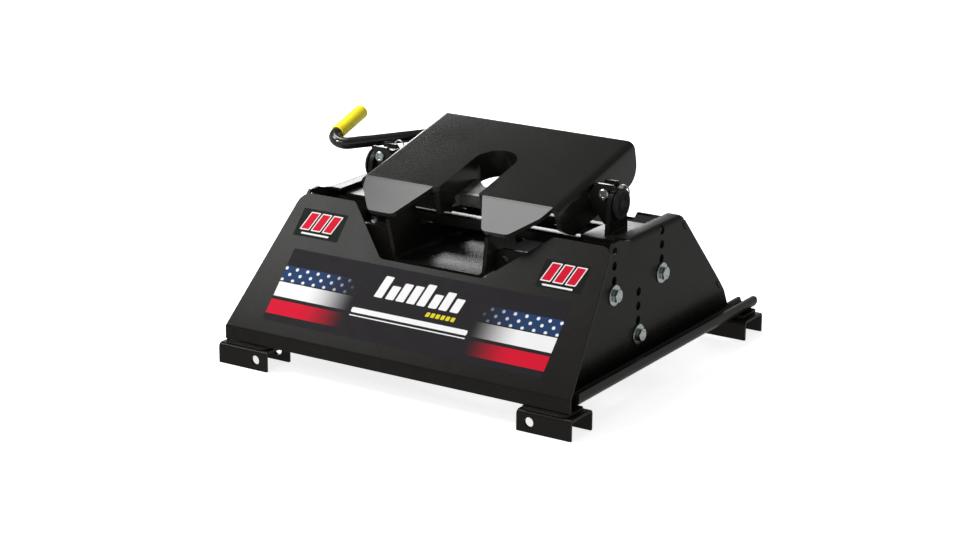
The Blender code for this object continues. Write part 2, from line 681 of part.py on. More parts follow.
def ramp(side):
    """A ramp wing that leads a kingpin box up onto the plate."""
    overlap = 0.12 * IN
    inner, outer = 1.85 * IN, 6.78 * IN
    outline = [(inner, overlap), (inner, 0), (3.25 * IN, -RAMP_LENGTH), (5.05 * IN, -RAMP_LENGTH),
               (6.45 * IN, -0.95 * IN), (outer, 0), (outer, overlap)]
    radii = [0, 0, 0.45 * IN, 0.5 * IN, 0.9 * IN, 0, 0]
    if side < 0:
        outline = [(-x, y) for x, y in reversed(outline)]
        radii = radii[::-1]
    place = (HEAD @ Matrix.Translation((0, HEAD_REAR, HEAD_TOP))
             @ Matrix.Rotation(RAMP_ANGLE, 4, 'X') @ Matrix.Translation((0, 0, -HEAD_PLATE)))
    return plate(f"ramp_{'right' if side > 0 else 'left'}", rounded(outline, radii),
                 HEAD_PLATE - 0.0001, place)


def slot_cutter():
    """The kingpin slot, with a round end and a mouth that widens at the ramps."""
    arc = [(SLOT_HALF * math.cos(t), PIN_Y + SLOT_HALF * math.sin(t))
           for t in [math.pi * k / 20 for k in range(21)]]
    wide = SLOT_HALF + SLOT_MOUTH
    start, end = HEAD_REAR + 0.25 * IN, HEAD_REAR - 0.05 * IN
    outline = arc + [(-SLOT_HALF, start), (-wide, end), (-wide, -8 * IN), (wide, -8 * IN),
                     (wide, end), (SLOT_HALF, start)]
    return plate("skid_slot", outline, 4 * IN, HEAD @ Matrix.Translation((0, 0, -1.5 * IN)))


def rod_window():
    """The opening in the left wall that the handle rod swings in."""
    low, high = 0, 1.03 * IN
    outline = rounded([(3.15 * IN, low), (6 * IN, low), (6 * IN, high), (3.15 * IN, high)],
                      [0.3 * IN, 0, 0, 0.3 * IN])
    place = HEAD @ Matrix.Translation((-8 * IN, 0, 0)) @ SIDE_VIEW
    return plate("rod_window", outline, 1.5 * IN, place)


def pin_seat():
    """The U-shaped throat wall under the slot, which a kingpin bears on."""
    inner = SLOT_HALF + SEAT_GAP
    outer = inner + SEAT_THICK
    turns = [math.pi * k / 20 for k in range(21)]
    rear = HEAD_REAR + 0.12 * IN
    outline = [(outer * math.cos(t), PIN_Y + outer * math.sin(t)) for t in turns]
    outline += [(-outer, rear), (-inner, rear)]
    outline += [(inner * math.cos(t), PIN_Y + inner * math.sin(t)) for t in reversed(turns)]
    outline += [(inner, rear), (outer, rear)]
    top = HEAD_TOP - HEAD_PLATE - GAP
    made = plate("pin_seat", outline, top - SEAT_DEPTH,
                 HEAD @ Matrix.Translation((0, 0, SEAT_DEPTH)), "head_powder_coat")
    clear = LOCK_TOP + 2 * GAP
    return cut(made, box("lock_notch", (-2 * outer, -2.3 * IN, SEAT_DEPTH - 1 * IN),
                         (2 * outer, LOCK_SHOULDER + 2 * GAP, clear), place=HEAD))


def lock_guide(name, low_x, high_x, front, rear):
    """A tray that the lock bar slides in, open at the top."""
    wall, floor = 0.22 * IN, LOCK_BOTTOM - 2 * GAP
    base = floor - 0.2 * IN
    top = LOCK_TOP
    section = [(rear - wall, base), (front + wall, base), (front + wall, top), (front, top),
               (front, floor), (rear, floor), (rear, top), (rear - wall, top)]
    place = HEAD @ Matrix.Translation((low_x, 0, 0)) @ SIDE_VIEW
    return plate(name, section, high_x - low_x, place, "head_powder_coat")


def lock_bar():
    """The sliding bar behind the kingpin, with a sloped shoulder and a slotted tail."""
    nose, blend = 0.3 * IN, 0.3 * IN
    tail_front, tail_rear = -0.45 * IN, -2.1 * IN
    outline = rounded([(LOCK_TIP, LOCK_REAR), (LOCK_TIP, LOCK_FRONT), (-0.45 * IN, LOCK_FRONT),
                       (-1.3 * IN, LOCK_SHOULDER), (-2.0 * IN, LOCK_SHOULDER),
                       (-2.3 * IN, tail_front), (LOCK_TAIL, tail_front), (LOCK_TAIL, tail_rear),
                       (-2.0 * IN, tail_rear), (-1.6 * IN, LOCK_REAR)],
                      [nose, nose, 2 * blend, blend, 0.1 * IN, 0, 0.2 * IN, 0.2 * IN, 0, 0])
    half = 0.29 * IN
    front, rear = -0.68 * IN, -1.98 * IN
    slot = rounded([(LEVER_PIN.x - half, front), (LEVER_PIN.x - half, rear),
                    (LEVER_PIN.x + half, rear), (LEVER_PIN.x + half, front)], 0.27 * IN, 5)
    place = HEAD @ Matrix.Translation((0, 0, LOCK_BOTTOM))
    return plate("lock_bar", outline, LOCK_TOP - LOCK_BOTTOM, place, "machined_steel", [slot])


def handle_lever():
    """The lever plate, its drive pin and the bent handle rod, one weldment."""
    arm = LEVER_PIN - LEVER_AXIS
    across = Vector((-arm.y, arm.x, 0)).normalized()
    hub, tip = 0.75 * IN, 0.4 * IN
    outline = []
    for centre, radius, start_turn in ((LEVER_AXIS, hub, 0), (LEVER_PIN, tip, math.pi)):
        heading = math.atan2(across.y, across.x) + start_turn
        for step in range(13):
            turn = heading + math.pi * step / 12
            outline.append((centre.x + radius * math.cos(turn), centre.y + radius * math.sin(turn)))
    place = HEAD @ Matrix.Translation((0, 0, LEVER_Z - LEVER_THICK / 2))
    made = plate("handle_lever", outline, LEVER_THICK, place, "gloss_black_rod",
                 [circle(LEVER_AXIS, LEVER_BORE + GAP, 24)])
    pin = cylinder("drive_pin", (LEVER_PIN.x, LEVER_PIN.y, -0.2 * IN), (0, 0, 1), 0.22 * IN,
                   1.2 * IN, sides=20, place=HEAD)
    rod = tube("handle_rod", rod_path(), ROD_R, None, HEAD)
    stud = cylinder("lever_stud", (*SPRING_STUD, LEVER_Z + 0.28 * IN), (0, 0, 1), STUD_R, 0.56 * IN,
                    sides=16, place=HEAD)
    return join(made, pin, stud, rod)


def rod_points():
    """The handle rod's corners in the head's frame, from the lever out to the grip."""
    start_at = LEVER_AXIS + Vector((-0.55, -0.1, 0.56)) * IN
    wall = Vector((-7.4, 3.71, 0.51)) * IN
    elbow = Vector((-11.95, -1.58, 1.47)) * IN
    grip_end = Vector((-12.22, 3.5, 1.62)) * IN
    return start_at, wall, elbow, grip_end


def rod_path():
    start_at, wall, elbow, grip_end = rod_points()
    return bend_path([start_at, wall, elbow, elbow.lerp(grip_end, ROD_SHARE)], ROD_BEND, 8)


def grip():
    """The vinyl grip pushed over the end of the rod."""
    _, _, elbow, grip_end = rod_points()
    start_at = elbow.lerp(grip_end, GRIP_SHARE)
    axis = (grip_end - start_at).normalized()
    length = (grip_end - start_at).length
    bore, wall = ROD_R + GAP, GRIP_R
    round_off = 0.12 * IN
    depth = (elbow.lerp(grip_end, ROD_SHARE) - start_at).length + GAP
    shoulder = 0.3 * round_off
    profile = [(0, length), (wall - round_off, length), (wall - shoulder, length - shoulder),
               (wall, length - round_off), (wall, 0.06 * IN), (wall - 0.06 * IN, 0), (bore, 0),
               (bore, depth), (0, depth)]
    turn = Vector((0, 0, 1)).rotation_difference(axis).to_matrix().to_4x4()
    return turned("grip", profile, HEAD @ Matrix.Translation(start_at) @ turn, "yellow_vinyl", 28)


def turned(name, profile, place, look, steps=32):
    """A turned piece from a profile of radius and height, listed from the top down outside."""
    bm = bmesh.new()
    rings = []
    for radius, height in profile:
        if radius < 1e-9:
            rings.append([bm.verts.new((0, 0, height))])
            continue
        rings.append([bm.verts.new((radius * math.cos(math.tau * k / steps),
                                    radius * math.sin(math.tau * k / steps), height))
                      for k in range(steps)])
    for upper, lower in zip(rings, rings[1:]):
        for k in range(steps):
            following = (k + 1) % steps
            corners = [upper[k % len(upper)], upper[following % len(upper)],
                       lower[following % len(lower)], lower[k % len(lower)]]
            bm.faces.new(list(dict.fromkeys(corners)))
    return shade(add_object(name, finish_mesh(bm, name), place, look))


def lever_bolt():
    """The shoulder bolt that the lever turns on, hung from a boss under the plate."""
    place = HEAD @ Matrix.Translation((LEVER_AXIS.x, LEVER_AXIS.y, 0))
    low = LEVER_Z - LEVER_THICK / 2 - GAP
    return hex_bolt("lever_bolt", (0, 0, low), (0, 0, 1), HEAD_TOP - HEAD_PLATE - low - 2 * GAP,
                    size=0.34 * IN, radius=LEVER_BORE, place=place)


def clevis():
    """The bracket on a head side wall: two cheeks joined by a back plate."""
    wall, far = HEAD_HALF + GAP, CHEEK_INNER + CHEEK
    made = plate("clevis_right", cheek_outline(8.92 * IN), CHEEK,
                 LEVEL @ Matrix.Translation((0, -CHEEK_INNER, 0)) @ FRONT_VIEW, "head_powder_coat")
    front = plate("clevis_front_cheek", cheek_outline(8.72 * IN), CHEEK,
                  LEVEL @ Matrix.Translation((0, far, 0)) @ FRONT_VIEW)
    reach = CHEEK_INNER + 0.0005
    back = box("clevis_back", (wall, -reach, 0.17 * IN), (wall + 0.16 * IN, reach, 0.6 * IN),
               place=LEVEL)
    join(made, front, back)
    return cut(made, clevis_bore("clevis_bore"))


def cheek_outline(ear):
    """A cheek seen from behind, with an ear that reaches over the stand."""
    wall, outer, low, top = HEAD_HALF + GAP, 8.55 * IN, -1.25 * IN, 1.27 * IN
    return rounded([(wall, 0.15 * IN), (8.3 * IN, low), (outer, low), (outer, 0.92 * IN),
                    (ear, 1.0 * IN), (ear, top), (7.75 * IN, top), (wall, 0.62 * IN)],
                   [0, 0.1 * IN, 0.1 * IN, 0.04 * IN, 0.04 * IN, 0.08 * IN, 0.12 * IN, 0])


def clevis_bore(name):
    x, z = CLEVIS_PIN
    return cylinder(name, (x, 0, z), (0, 1, 0), CLEVIS_PIN_R + GAP, 3 * IN, sides=20, place=LEVEL)


def trunnion_block():
    """The block between the cheeks that holds the trunnion pin."""
    low_x, high_x = HEAD_HALF + 0.16 * IN + 3 * GAP, 8.45 * IN
    half = CHEEK_INNER - 2 * GAP
    made = box("trunnion_block_right", (low_x, -half, -0.68 * IN), (high_x, half, 1.1 * IN),
               "head_powder_coat", LEVEL)
    hole = cylinder("block_pin_bore", (8.2 * IN, 0, 0), (1, 0, 0), TRUNNION_R + GAP, 1.3 * IN,
                    sides=28, place=LEVEL)
    return cut(made, clevis_bore("block_bore"), hole)


def trunnion_pin():
    """The pivot pin, with a collar that turns in the bushing."""
    low, seat, high = 7.65 * IN, STAND_X - 0.1 * IN, CAP_X - 2 * GAP
    made = cylinder("trunnion_pin_right", ((low + high) / 2, 0, 0), (1, 0, 0), TRUNNION_R,
                    high - low, "machined_steel", 28, LEVEL)
    return join(made, cylinder("trunnion_collar", ((seat + high - GAP) / 2, 0, 0), (1, 0, 0),
                               BUSHING_BORE - 0.02 * IN, high - GAP - seat, None, 28, LEVEL))


def pivot_cap():
    """The cover over the outer end of the pivot, with a ring sunk in its face."""
    thick, rim = 0.16 * IN, 0.98 * IN
    sunk = 0.75 * thick
    profile = [(0, thick), (0.3 * rim, thick), (0.36 * rim, sunk), (0.72 * rim, sunk),
               (0.78 * rim, thick), (0.92 * rim, thick), (rim, 0.6 * thick), (rim, 0), (0, 0)]
    place = LEVEL @ Matrix.Translation((CAP_X, 0, 0)) @ Matrix.Rotation(math.pi / 2, 4, 'Y')
    return turned("pivot_cap_right", profile, place, "black_rubber", 36)


def clip_way(turn):
    """The frame at a clip's hole in its pin: x points to the clip's centre, y along the pin."""
    x, z = CLEVIS_PIN
    return LEVEL @ Matrix.Translation((x, CLIP_HOLE_Y, z)) @ Matrix.Rotation(-turn, 4, 'Y')


def clevis_pin(turn):
    """The pin through the cheeks and the block, with a round head at its rear."""
    x, z = CLEVIS_PIN
    face, thick = CHEEK_INNER + CHEEK + GAP, 0.13 * IN
    start, tip = -face - thick / 2, CLIP_HOLE_Y + 0.2 * IN
    made = cylinder("clevis_pin_right", (x, (start + tip) / 2, z), (0, 1, 0), CLEVIS_PIN_R,
                    tip - start, "zinc_plate", 20, LEVEL)
    disc = cylinder("clevis_pin_disc", (x, -face - thick / 2, z), (0, 1, 0), 0.34 * IN, thick, None,
                    28, LEVEL)
    hole = cylinder("clevis_clip_hole", (0, 0, 0), (0, 0, 1), CLIP_HOLE_R, 1 * IN, None, 16,
                    clip_way(turn))
    return cut(join(made, disc), hole)


def clevis_clip(turn):
    """The ring clip that keeps the pin in, through the hole near its front end."""
    sag = CLIP_R - math.sqrt(CLIP_R ** 2 - CLEVIS_PIN_R ** 2)
    centre = CLIP_R - sag / 2
    ring = [(centre + CLIP_R * math.cos(t), 0, CLIP_R * math.sin(t))
            for t in [math.tau * k / 28 for k in range(28)]]
    return tube("clevis_clip_right", ring, CLIP_WIRE, "zinc_plate", clip_way(turn), 2, closed=True)


def pivot_hardware():
    """Both pivots' pieces; the clips have come to rest at different turns."""
    made = [clevis(), trunnion_block(), trunnion_pin(), pivot_cap()]
    for piece in list(made):
        made.append(other_side(piece, piece.name.replace("right", "left")))
    mirror_turn = CLIP_TURNS["left"]
    for maker in (clevis_pin, clevis_clip):
        piece = maker(mirror_turn)
        made.append(other_side(piece, piece.name.replace("right", "left")))
        bpy.data.objects.remove(piece, do_unlink=True)
        made.append(maker(CLIP_TURNS["right"]))
    return made


def spring():
    """The extension spring that pulls the lever back to its locked place."""
    turns, radius, wire, steps = 12, 0.19 * IN, 0.045 * IN, 10
    height = LEVER_Z + 0.38 * IN
    loop = STUD_R + 2 * wire
    low, high = SPRING_STUD.x + loop + 0.35 * IN, SPRING_POST.x - loop - 0.35 * IN
    hooks = []
    for centre, facing in ((SPRING_STUD, 1), (SPRING_POST, -1)):
        turn = [math.radians(45 + 27 * k) for k in range(11)]
        hooks.append([(centre.x + facing * loop * math.cos(t), centre.y + loop * math.sin(t), height)
                      for t in turn])
    coil = []
    for k in range(turns * steps + 1):
        angle = math.tau * k / steps
        coil.append((low + (high - low) * k / (turns * steps), SPRING_STUD.y + radius * math.cos(angle),
                     height + radius * math.sin(angle)))
    points = hooks[0] + coil + hooks[1][::-1]
    return tube("return_spring", points, wire, "spring_steel", HEAD, 1)


def hang(name, place, pieces):
    """Parents pieces to an empty on their joint's axis, leaving them where they are."""
    axis = bpy.data.objects.new(name, None)
    axis.matrix_world = place
    PARTS.objects.link(axis)
    for piece in pieces:
        piece.parent = axis
        piece.matrix_parent_inverse = place.inverted()


def build_base():
    rear_panel()
    front, front_frame, tabs = front_panel()
    mirrored = [side_frame(front_frame, tabs)]
    for side, word in ((1, "right"), (-1, "left")):
        for row, place in ((-1, "rear"), (1, "front")):
            foot(f"rail_foot_{place}_{word}", side, row)
            foot_pad(f"foot_pad_{place}_{word}", side, row)
    trough()
    cross_bar("rear_cross_bar", -2.45 * IN, 1)
    cross_bar("front_cross_bar", 1.65 * IN, -1)
    cross_plates()
    frame_fasteners()
    mirrored += [end_plate(), pivot_stand(), bushing()]
    for piece in mirrored:
        other_side(piece, piece.name.replace("right", "left"))


def build_head():
    made = [skid_plate(), pin_seat(), lever_bolt(), spring(), *pivot_hardware()]
    outer = SLOT_HALF + SEAT_GAP + SEAT_THICK + 2 * GAP
    made.append(lock_guide("lock_guide_left", -HEAD_HALF + HEAD_PLATE + GAP, -outer,
                           LOCK_SHOULDER + 2 * GAP, -2.2 * IN))
    made.append(lock_guide("lock_guide_right", outer, 2.5 * IN, LOCK_FRONT + 2 * GAP,
                           LOCK_REAR - 2 * GAP))
    made.append(lock_bar())
    hang("head_pivot", LEVEL, made)
    hang("handle_pivot", HEAD @ Matrix.Translation(LEVER_AXIS), [handle_lever(), grip()])


build_base()
build_head()
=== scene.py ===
"""Looks of the fifth wheel hitch: powder coat, zinc fasteners, weld beads, labels and studio."""
import json
import math

import bmesh
import bpy
from mathutils import Matrix, Vector

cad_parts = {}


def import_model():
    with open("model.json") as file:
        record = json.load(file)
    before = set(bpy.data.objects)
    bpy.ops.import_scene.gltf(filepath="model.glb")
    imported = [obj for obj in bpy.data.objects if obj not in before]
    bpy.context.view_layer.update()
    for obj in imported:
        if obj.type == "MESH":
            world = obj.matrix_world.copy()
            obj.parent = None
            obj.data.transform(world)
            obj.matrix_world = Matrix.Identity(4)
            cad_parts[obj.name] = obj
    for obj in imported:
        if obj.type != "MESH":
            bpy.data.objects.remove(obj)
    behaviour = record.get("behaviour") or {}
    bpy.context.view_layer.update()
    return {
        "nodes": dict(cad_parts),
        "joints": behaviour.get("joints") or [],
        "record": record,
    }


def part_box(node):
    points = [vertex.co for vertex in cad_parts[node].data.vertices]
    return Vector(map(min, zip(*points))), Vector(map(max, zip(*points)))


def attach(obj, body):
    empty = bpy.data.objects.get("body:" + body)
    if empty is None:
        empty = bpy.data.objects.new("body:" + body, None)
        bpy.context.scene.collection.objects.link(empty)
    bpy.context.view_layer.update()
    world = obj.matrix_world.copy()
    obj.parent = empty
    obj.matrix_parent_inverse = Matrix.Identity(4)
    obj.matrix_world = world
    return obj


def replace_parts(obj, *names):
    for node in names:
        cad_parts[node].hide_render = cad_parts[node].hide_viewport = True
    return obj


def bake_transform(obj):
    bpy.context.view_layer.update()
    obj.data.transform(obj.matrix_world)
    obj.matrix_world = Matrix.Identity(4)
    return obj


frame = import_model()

IN = 0.0254
LABEL_GAP, LABEL_THICK = 0.00005, 0.00012
X_AXIS, Y_AXIS, Z_AXIS = Vector((1, 0, 0)), Vector((0, 1, 0)), Vector((0, 0, 1))
SIDES = (("right", 1), ("left", -1))
JOINTS = {joint["name"]: joint for joint in frame["joints"]}


# -------------------------------------------------------------------- places

def place_on(origin, across, out):
    """A frame at a point: local x runs across, z points out."""
    out, across = Vector(out).normalized(), Vector(across).normalized()
    turn = Matrix((across, out.cross(across), out)).transposed().to_4x4()
    return Matrix.Translation(origin) @ turn


PIVOT = Vector(JOINTS["head_pitch"]["pos_m"])
HEAD = place_on(PIVOT, X_AXIS, -Vector(JOINTS["handle_swing"]["axis"]))
HEAD_INVERSE = HEAD.inverted()
LEVER_SPOT = HEAD_INVERSE @ Vector(JOINTS["handle_swing"]["pos_m"])

PANEL_TOP = Vector((0, -5.2, 9.69)) * IN       # outer face of the sloping rear panel
PANEL_FOOT = Vector((0, -11.92, 2.37)) * IN
PANEL_UP = (PANEL_TOP - PANEL_FOOT).normalized()
PANEL = place_on(PANEL_TOP, X_AXIS, X_AXIS.cross(PANEL_UP))


# --------------------------------------------------------------------- meshes

def add_piece(name, mesh, body, look, place=Matrix()):
    piece = bpy.data.objects.new(name, mesh)
    bpy.context.scene.collection.objects.link(piece)
    piece.matrix_world = place
    mesh.materials.append(look)
    if body:
        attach(piece, body)
    return piece


def to_mesh(bm, name, angle=35):
    mesh = bpy.data.meshes.new(name)
    bmesh.ops.recalc_face_normals(bm, faces=bm.faces)
    bm.to_mesh(mesh)
    bm.free()
    mesh.shade_smooth()
    mesh.set_sharp_from_angle(angle=math.radians(angle))
    return mesh


def link_rings(bm, rings, closed=False):
    """Faces between successive rings; a ring of one vertex is a point."""
    pairs = list(zip(rings, rings[1:])) + ([(rings[-1], rings[0])] if closed else [])
    for one, two in pairs:
        count = max(len(one), len(two))
        for k in range(count):
            corners = [one[k % len(one)], one[(k + 1) % len(one)],
                       two[(k + 1) % len(two)], two[k % len(two)]]
            bm.faces.new(list(dict.fromkeys(corners)))


def ring_of(bm, radius_at, height_at, steps):
    """A ring of vertices about z; its radius may change with the turn, its height with the radius."""
    spots = []
    for k in range(steps):
        turn = math.tau * k / steps
        radius = radius_at(turn)
        spots.append(bm.verts.new((radius * math.cos(turn), radius * math.sin(turn),
                                   height_at(radius))))
    return spots


def turned_mesh(name, profile, steps=48, closed=False):
    """A turned mesh about z from (radius, height) points."""
    bm = bmesh.new()
    rings = []
    for radius, height in profile:
        if radius < 1e-7:
            rings.append([bm.verts.new((0, 0, height))])
        else:
            rings.append(ring_of(bm, lambda _: radius, lambda _: height, steps))
    link_rings(bm, rings, closed)
    return to_mesh(bm, name)


def arc(centre, radius, first, last, steps):
    """Points on an arc, angles in degrees."""
    turns = [math.radians(first + (last - first) * k / steps) for k in range(steps + 1)]
    return [(centre[0] + radius * math.cos(t), centre[1] + radius * math.sin(t)) for t in turns]


def smooth_path(corners, radius, steps=14):
    """A chain of points with its inner corners rounded."""
    corners = [Vector(c) for c in corners]
    chain = [corners[0]]
    for before, corner, after in zip(corners, corners[1:], corners[2:]):
        back, ahead = (before - corner).normalized(), (after - corner).normalized()
        half = back.angle(ahead) / 2
        centre = corner + (back + ahead).normalized() * radius / math.sin(half)
        first = corner + back * radius / math.tan(half) - centre
        last = corner + ahead * radius / math.tan(half) - centre
        for k in range(steps + 1):
            chain.append(centre + first.normalized().slerp(last.normalized(), k / steps) * radius)
    return chain + [corners[-1]]


def swept_mesh(name, points, radius_at, sides=24, closed=False):
    """A round bar along points; radius_at gives its radius at a length along it."""
    points = [Vector(p) for p in points]
    count = len(points)
    bm = bmesh.new()
    rings = []
    normal, length = None, 0.0
    for k, spot in enumerate(points):
        before = points[(k - 1) % count] if closed or k else spot
        after = points[(k + 1) % count] if closed or k < count - 1 else spot
        ahead = (after - before).normalized()
        if normal is None:
            normal = ahead.orthogonal()
        normal = (normal - ahead * normal.dot(ahead)).normalized()
        side = ahead.cross(normal)
        length += (spot - points[k - 1]).length if k else 0
        radius = radius_at(length)
        ring = []
        for j in range(sides):
            turn = math.tau * j / sides
            out = normal * math.cos(turn) + side * math.sin(turn)
            ring.append(bm.verts.new(spot + out * radius))
        rings.append(ring)
    link_rings(bm, rings, closed)
    if not closed:
        bm.faces.new(rings[0])
        bm.faces.new(rings[-1])
    return to_mesh(bm, name, 50)


def slab_mesh(name, outline, low, high, edge=0.0):
    """A flat plate from an outline, with a chamfered upper edge."""
    bm = bmesh.new()
    verts = [bm.verts.new((x, y, low)) for x, y in outline]
    face = bm.faces.new(verts)
    lifted = bmesh.ops.extrude_face_region(bm, geom=[face])["geom"]
    upper = [part for part in lifted if isinstance(part, bmesh.types.BMVert)]
    bmesh.ops.translate(bm, vec=(0, 0, high - low), verts=upper)
    if edge:
        bmesh.ops.recalc_face_normals(bm, faces=bm.faces)
        sharp = [e for e in bm.edges if len(e.link_faces) == 2 and e.calc_face_angle() > 0.6]
        bmesh.ops.bevel(bm, geom=sharp, offset=edge, segments=2, profile=0.5, affect='EDGES')
    return to_mesh(bm, name)


def rounded_box(width, height, radius, steps=6):
    """The outline of a rectangle with round corners, centred on the origin."""
    points = []
    for sx, sy, first in ((1, 1, 0), (-1, 1, 90), (-1, -1, 180), (1, -1, 270)):
        centre = (sx * (width / 2 - radius), sy * (height / 2 - radius))
        points += arc(centre, radius, first, first + 90, steps)
    return points


# ------------------------------------------------------------------ materials

class Look:
    """A node material under construction, fed by its piece's own coordinates in metres."""

    def __init__(self, name, colour, roughness, metallic=0.0, specular=0.5, coat=0.0):
        self.material = bpy.data.materials.new(name)
        self.material.use_nodes = True
        self.tree = self.material.node_tree
        self.shader = self.tree.nodes["Principled BSDF"]
        self.colour = (*colour, 1)
        self.put(self.shader.inputs["Base Color"], self.colour)
        self.put(self.shader.inputs["Roughness"], roughness)
        self.put(self.shader.inputs["Metallic"], metallic)
        self.put(self.shader.inputs["Specular IOR Level"], specular)
        self.put(self.shader.inputs["Coat Weight"], coat)
        self.spot = self.tree.nodes.new("ShaderNodeTexCoord").outputs["Object"]

    def put(self, socket, value):
        if isinstance(value, bpy.types.NodeSocket):
            self.tree.links.new(value, socket)
        else:
            socket.default_value = value

    def node(self, kind, **settings):
        made = self.tree.nodes.new(kind)
        for key, value in settings.items():
            setattr(made, key, value)
        return made

    def math(self, operation, one, two=0.0, three=None, clamp=False):
        made = self.node("ShaderNodeMath", operation=operation, use_clamp=clamp)
        self.put(made.inputs[0], one)
        self.put(made.inputs[1], two)
        if three is not None:
            self.put(made.inputs[2], three)
        return made.outputs[0]

    def stretched(self, scale):
        made = self.node("ShaderNodeMapping")
        self.put(made.inputs["Vector"], self.spot)
        made.inputs["Scale"].default_value = scale
        return made.outputs[0]

    def noise(self, scale, detail=3.0, roughness=0.5, vector=None):
        made = self.node("ShaderNodeTexNoise")
        self.put(made.inputs["Vector"], vector or self.spot)
        self.put(made.inputs["Scale"], scale)
        self.put(made.inputs["Detail"], detail)
        self.put(made.inputs["Roughness"], roughness)
        return made.outputs["Fac"]

    def remap(self, value, low, high, new_low=0.0, new_high=1.0, smooth=False):
        kind = 'SMOOTHSTEP' if smooth else 'LINEAR'
        made = self.node("ShaderNodeMapRange", interpolation_type=kind)
        for socket, number in zip(made.inputs, (value, low, high, new_low, new_high)):
            self.put(socket, number)
        return made.outputs[0]

    def mix(self, factor, one, two):
        made = self.node("ShaderNodeMix", data_type='RGBA')
        self.put(made.inputs["Factor"], factor)
        for socket, colour in zip(made.inputs[6:8], (one, two)):     # the colour A and B sockets
            self.put(socket, colour)
        return made.outputs[2]

    def tint(self, factor, other):
        """Shifts the base colour toward another by a factor socket."""
        self.put(self.shader.inputs["Base Color"], self.mix(factor, self.colour, (*other, 1)))

    def rough(self, value):
        self.put(self.shader.inputs["Roughness"], value)

    def bump(self, *layers):
        """Bump layers of (height socket, strength, depth in metres), coarse first."""
        normal = None
        for height, strength, depth in layers:
            made = self.node("ShaderNodeBump")
            self.put(made.inputs["Height"], height)
            made.inputs["Strength"].default_value = strength
            made.inputs["Distance"].default_value = depth
            if normal:
                self.tree.links.new(normal, made.inputs["Normal"])
            normal = made.outputs["Normal"]
        self.tree.links.new(normal, self.shader.inputs["Normal"])


def powder_coat(name, colour, lighter, roughness, specular):
    """Baked powder: an orange peel of about a millimetre, and a slow drift of gloss."""
    look = Look(name, colour, roughness, specular=specular)
    look.tint(look.remap(look.noise(45, 4), 0.35, 0.7), lighter)
    look.rough(look.remap(look.noise(14, 2), 0.3, 0.7, roughness - 0.015, roughness + 0.025))
    swell, peel, grit = look.noise(30, 1), look.noise(620, 2), look.noise(2600, 1)
    look.bump((swell, 0.12, 0.00008), (peel, 0.35, 0.00003), (grit, 0.15, 0.00001))
    return look.material


def zinc_plate():
    """Bright zinc with a cool passivated tint and fine tumbling marks."""
    look = Look("zinc_plate", (0.66, 0.72, 0.7), 0.24, metallic=1.0)
    cloud = look.noise(260, 4, 0.6)
    look.tint(look.remap(cloud, 0.42, 0.68), (0.4, 0.47, 0.45))
    look.rough(look.remap(look.noise(700, 3), 0.3, 0.7, 0.17, 0.36))
    look.bump((look.noise(1100, 3), 0.2, 0.00002))
    return look.material


def machined_steel():
    """Bare steel with grinding lines along X and a few darker patches."""
    look = Look("machined_steel", (0.62, 0.61, 0.59), 0.42, metallic=1.0)
    lines = look.noise(1.0, 3, 0.6, look.stretched((40, 2600, 2600)))
    look.tint(look.remap(look.noise(60, 4, 0.6), 0.45, 0.75), (0.26, 0.25, 0.23))
    look.rough(look.remap(lines, 0.3, 0.7, 0.34, 0.5))
    look.bump((lines, 0.3, 0.00002))
    return look.material


def gloss_enamel():
    """Wet-looking black paint of the handle's rod, under a thin clear coat."""
    look = Look("gloss_enamel", (0.008, 0.008, 0.009), 0.16, specular=0.5, coat=0.3)
    look.shader.inputs["Coat Roughness"].default_value = 0.08
    look.rough(look.remap(look.noise(50, 2), 0.3, 0.7, 0.13, 0.22))
    look.bump((look.noise(120, 2), 0.2, 0.00004))
    return look.material


def yellow_vinyl():
    """Dipped vinyl: soft sheen, slightly deeper in colour where it is thick."""
    look = Look("yellow_vinyl", (0.9, 0.8, 0.018), 0.42, specular=0.45)
    look.tint(look.remap(look.noise(40, 3), 0.35, 0.7), (0.78, 0.64, 0.01))
    look.shader.inputs["Subsurface Weight"].default_value = 0.12
    look.shader.inputs["Subsurface Radius"].default_value = (0.004, 0.003, 0.0006)
    look.rough(look.remap(look.noise(300, 2), 0.3, 0.7, 0.36, 0.5))
    look.bump((look.noise(90, 2), 0.2, 0.0001), (look.noise(1400, 2), 0.15, 0.00002))
    return look.material


def black_rubber():
    """Moulded rubber: dull, a little dusty, with a fine grain."""
    look = Look("black_rubber", (0.008, 0.008, 0.008), 0.6, specular=0.2)
    look.tint(look.remap(look.noise(120, 4), 0.4, 0.75), (0.016, 0.016, 0.016))
    look.rough(look.remap(look.noise(240, 3), 0.3, 0.7, 0.5, 0.72))
    look.bump((look.noise(1500, 3), 0.3, 0.00004))
    return look.material


def spring_steel():
    """Drawn wire, darker than the zinc."""
    look = Look("spring_steel", (0.34, 0.34, 0.35), 0.32, metallic=1.0)
    look.tint(look.remap(look.noise(180, 3), 0.4, 0.7), (0.2, 0.2, 0.21))
    look.rough(look.remap(look.noise(500, 2), 0.3, 0.7, 0.26, 0.42))
    look.bump((look.noise(1600, 2), 0.2, 0.00002))
    return look.material


LOOKS = {
    "black_powder_coat": powder_coat("black_powder_coat", (0.0105, 0.0098, 0.0086),
                                     (0.0122, 0.0114, 0.01), 0.27, 0.1),
    "head_powder_coat": powder_coat("head_powder_coat", (0.0115, 0.0112, 0.0095),
                                    (0.0128, 0.0125, 0.0106), 0.2, 0.3),
    "zinc_plate": zinc_plate(),
    "machined_steel": machined_steel(),
    "gloss_black_rod": gloss_enamel(),
    "yellow_vinyl": yellow_vinyl(),
    "black_rubber": black_rubber(),
    "spring_steel": spring_steel(),
}


# --------------------------------------------------------------------- labels

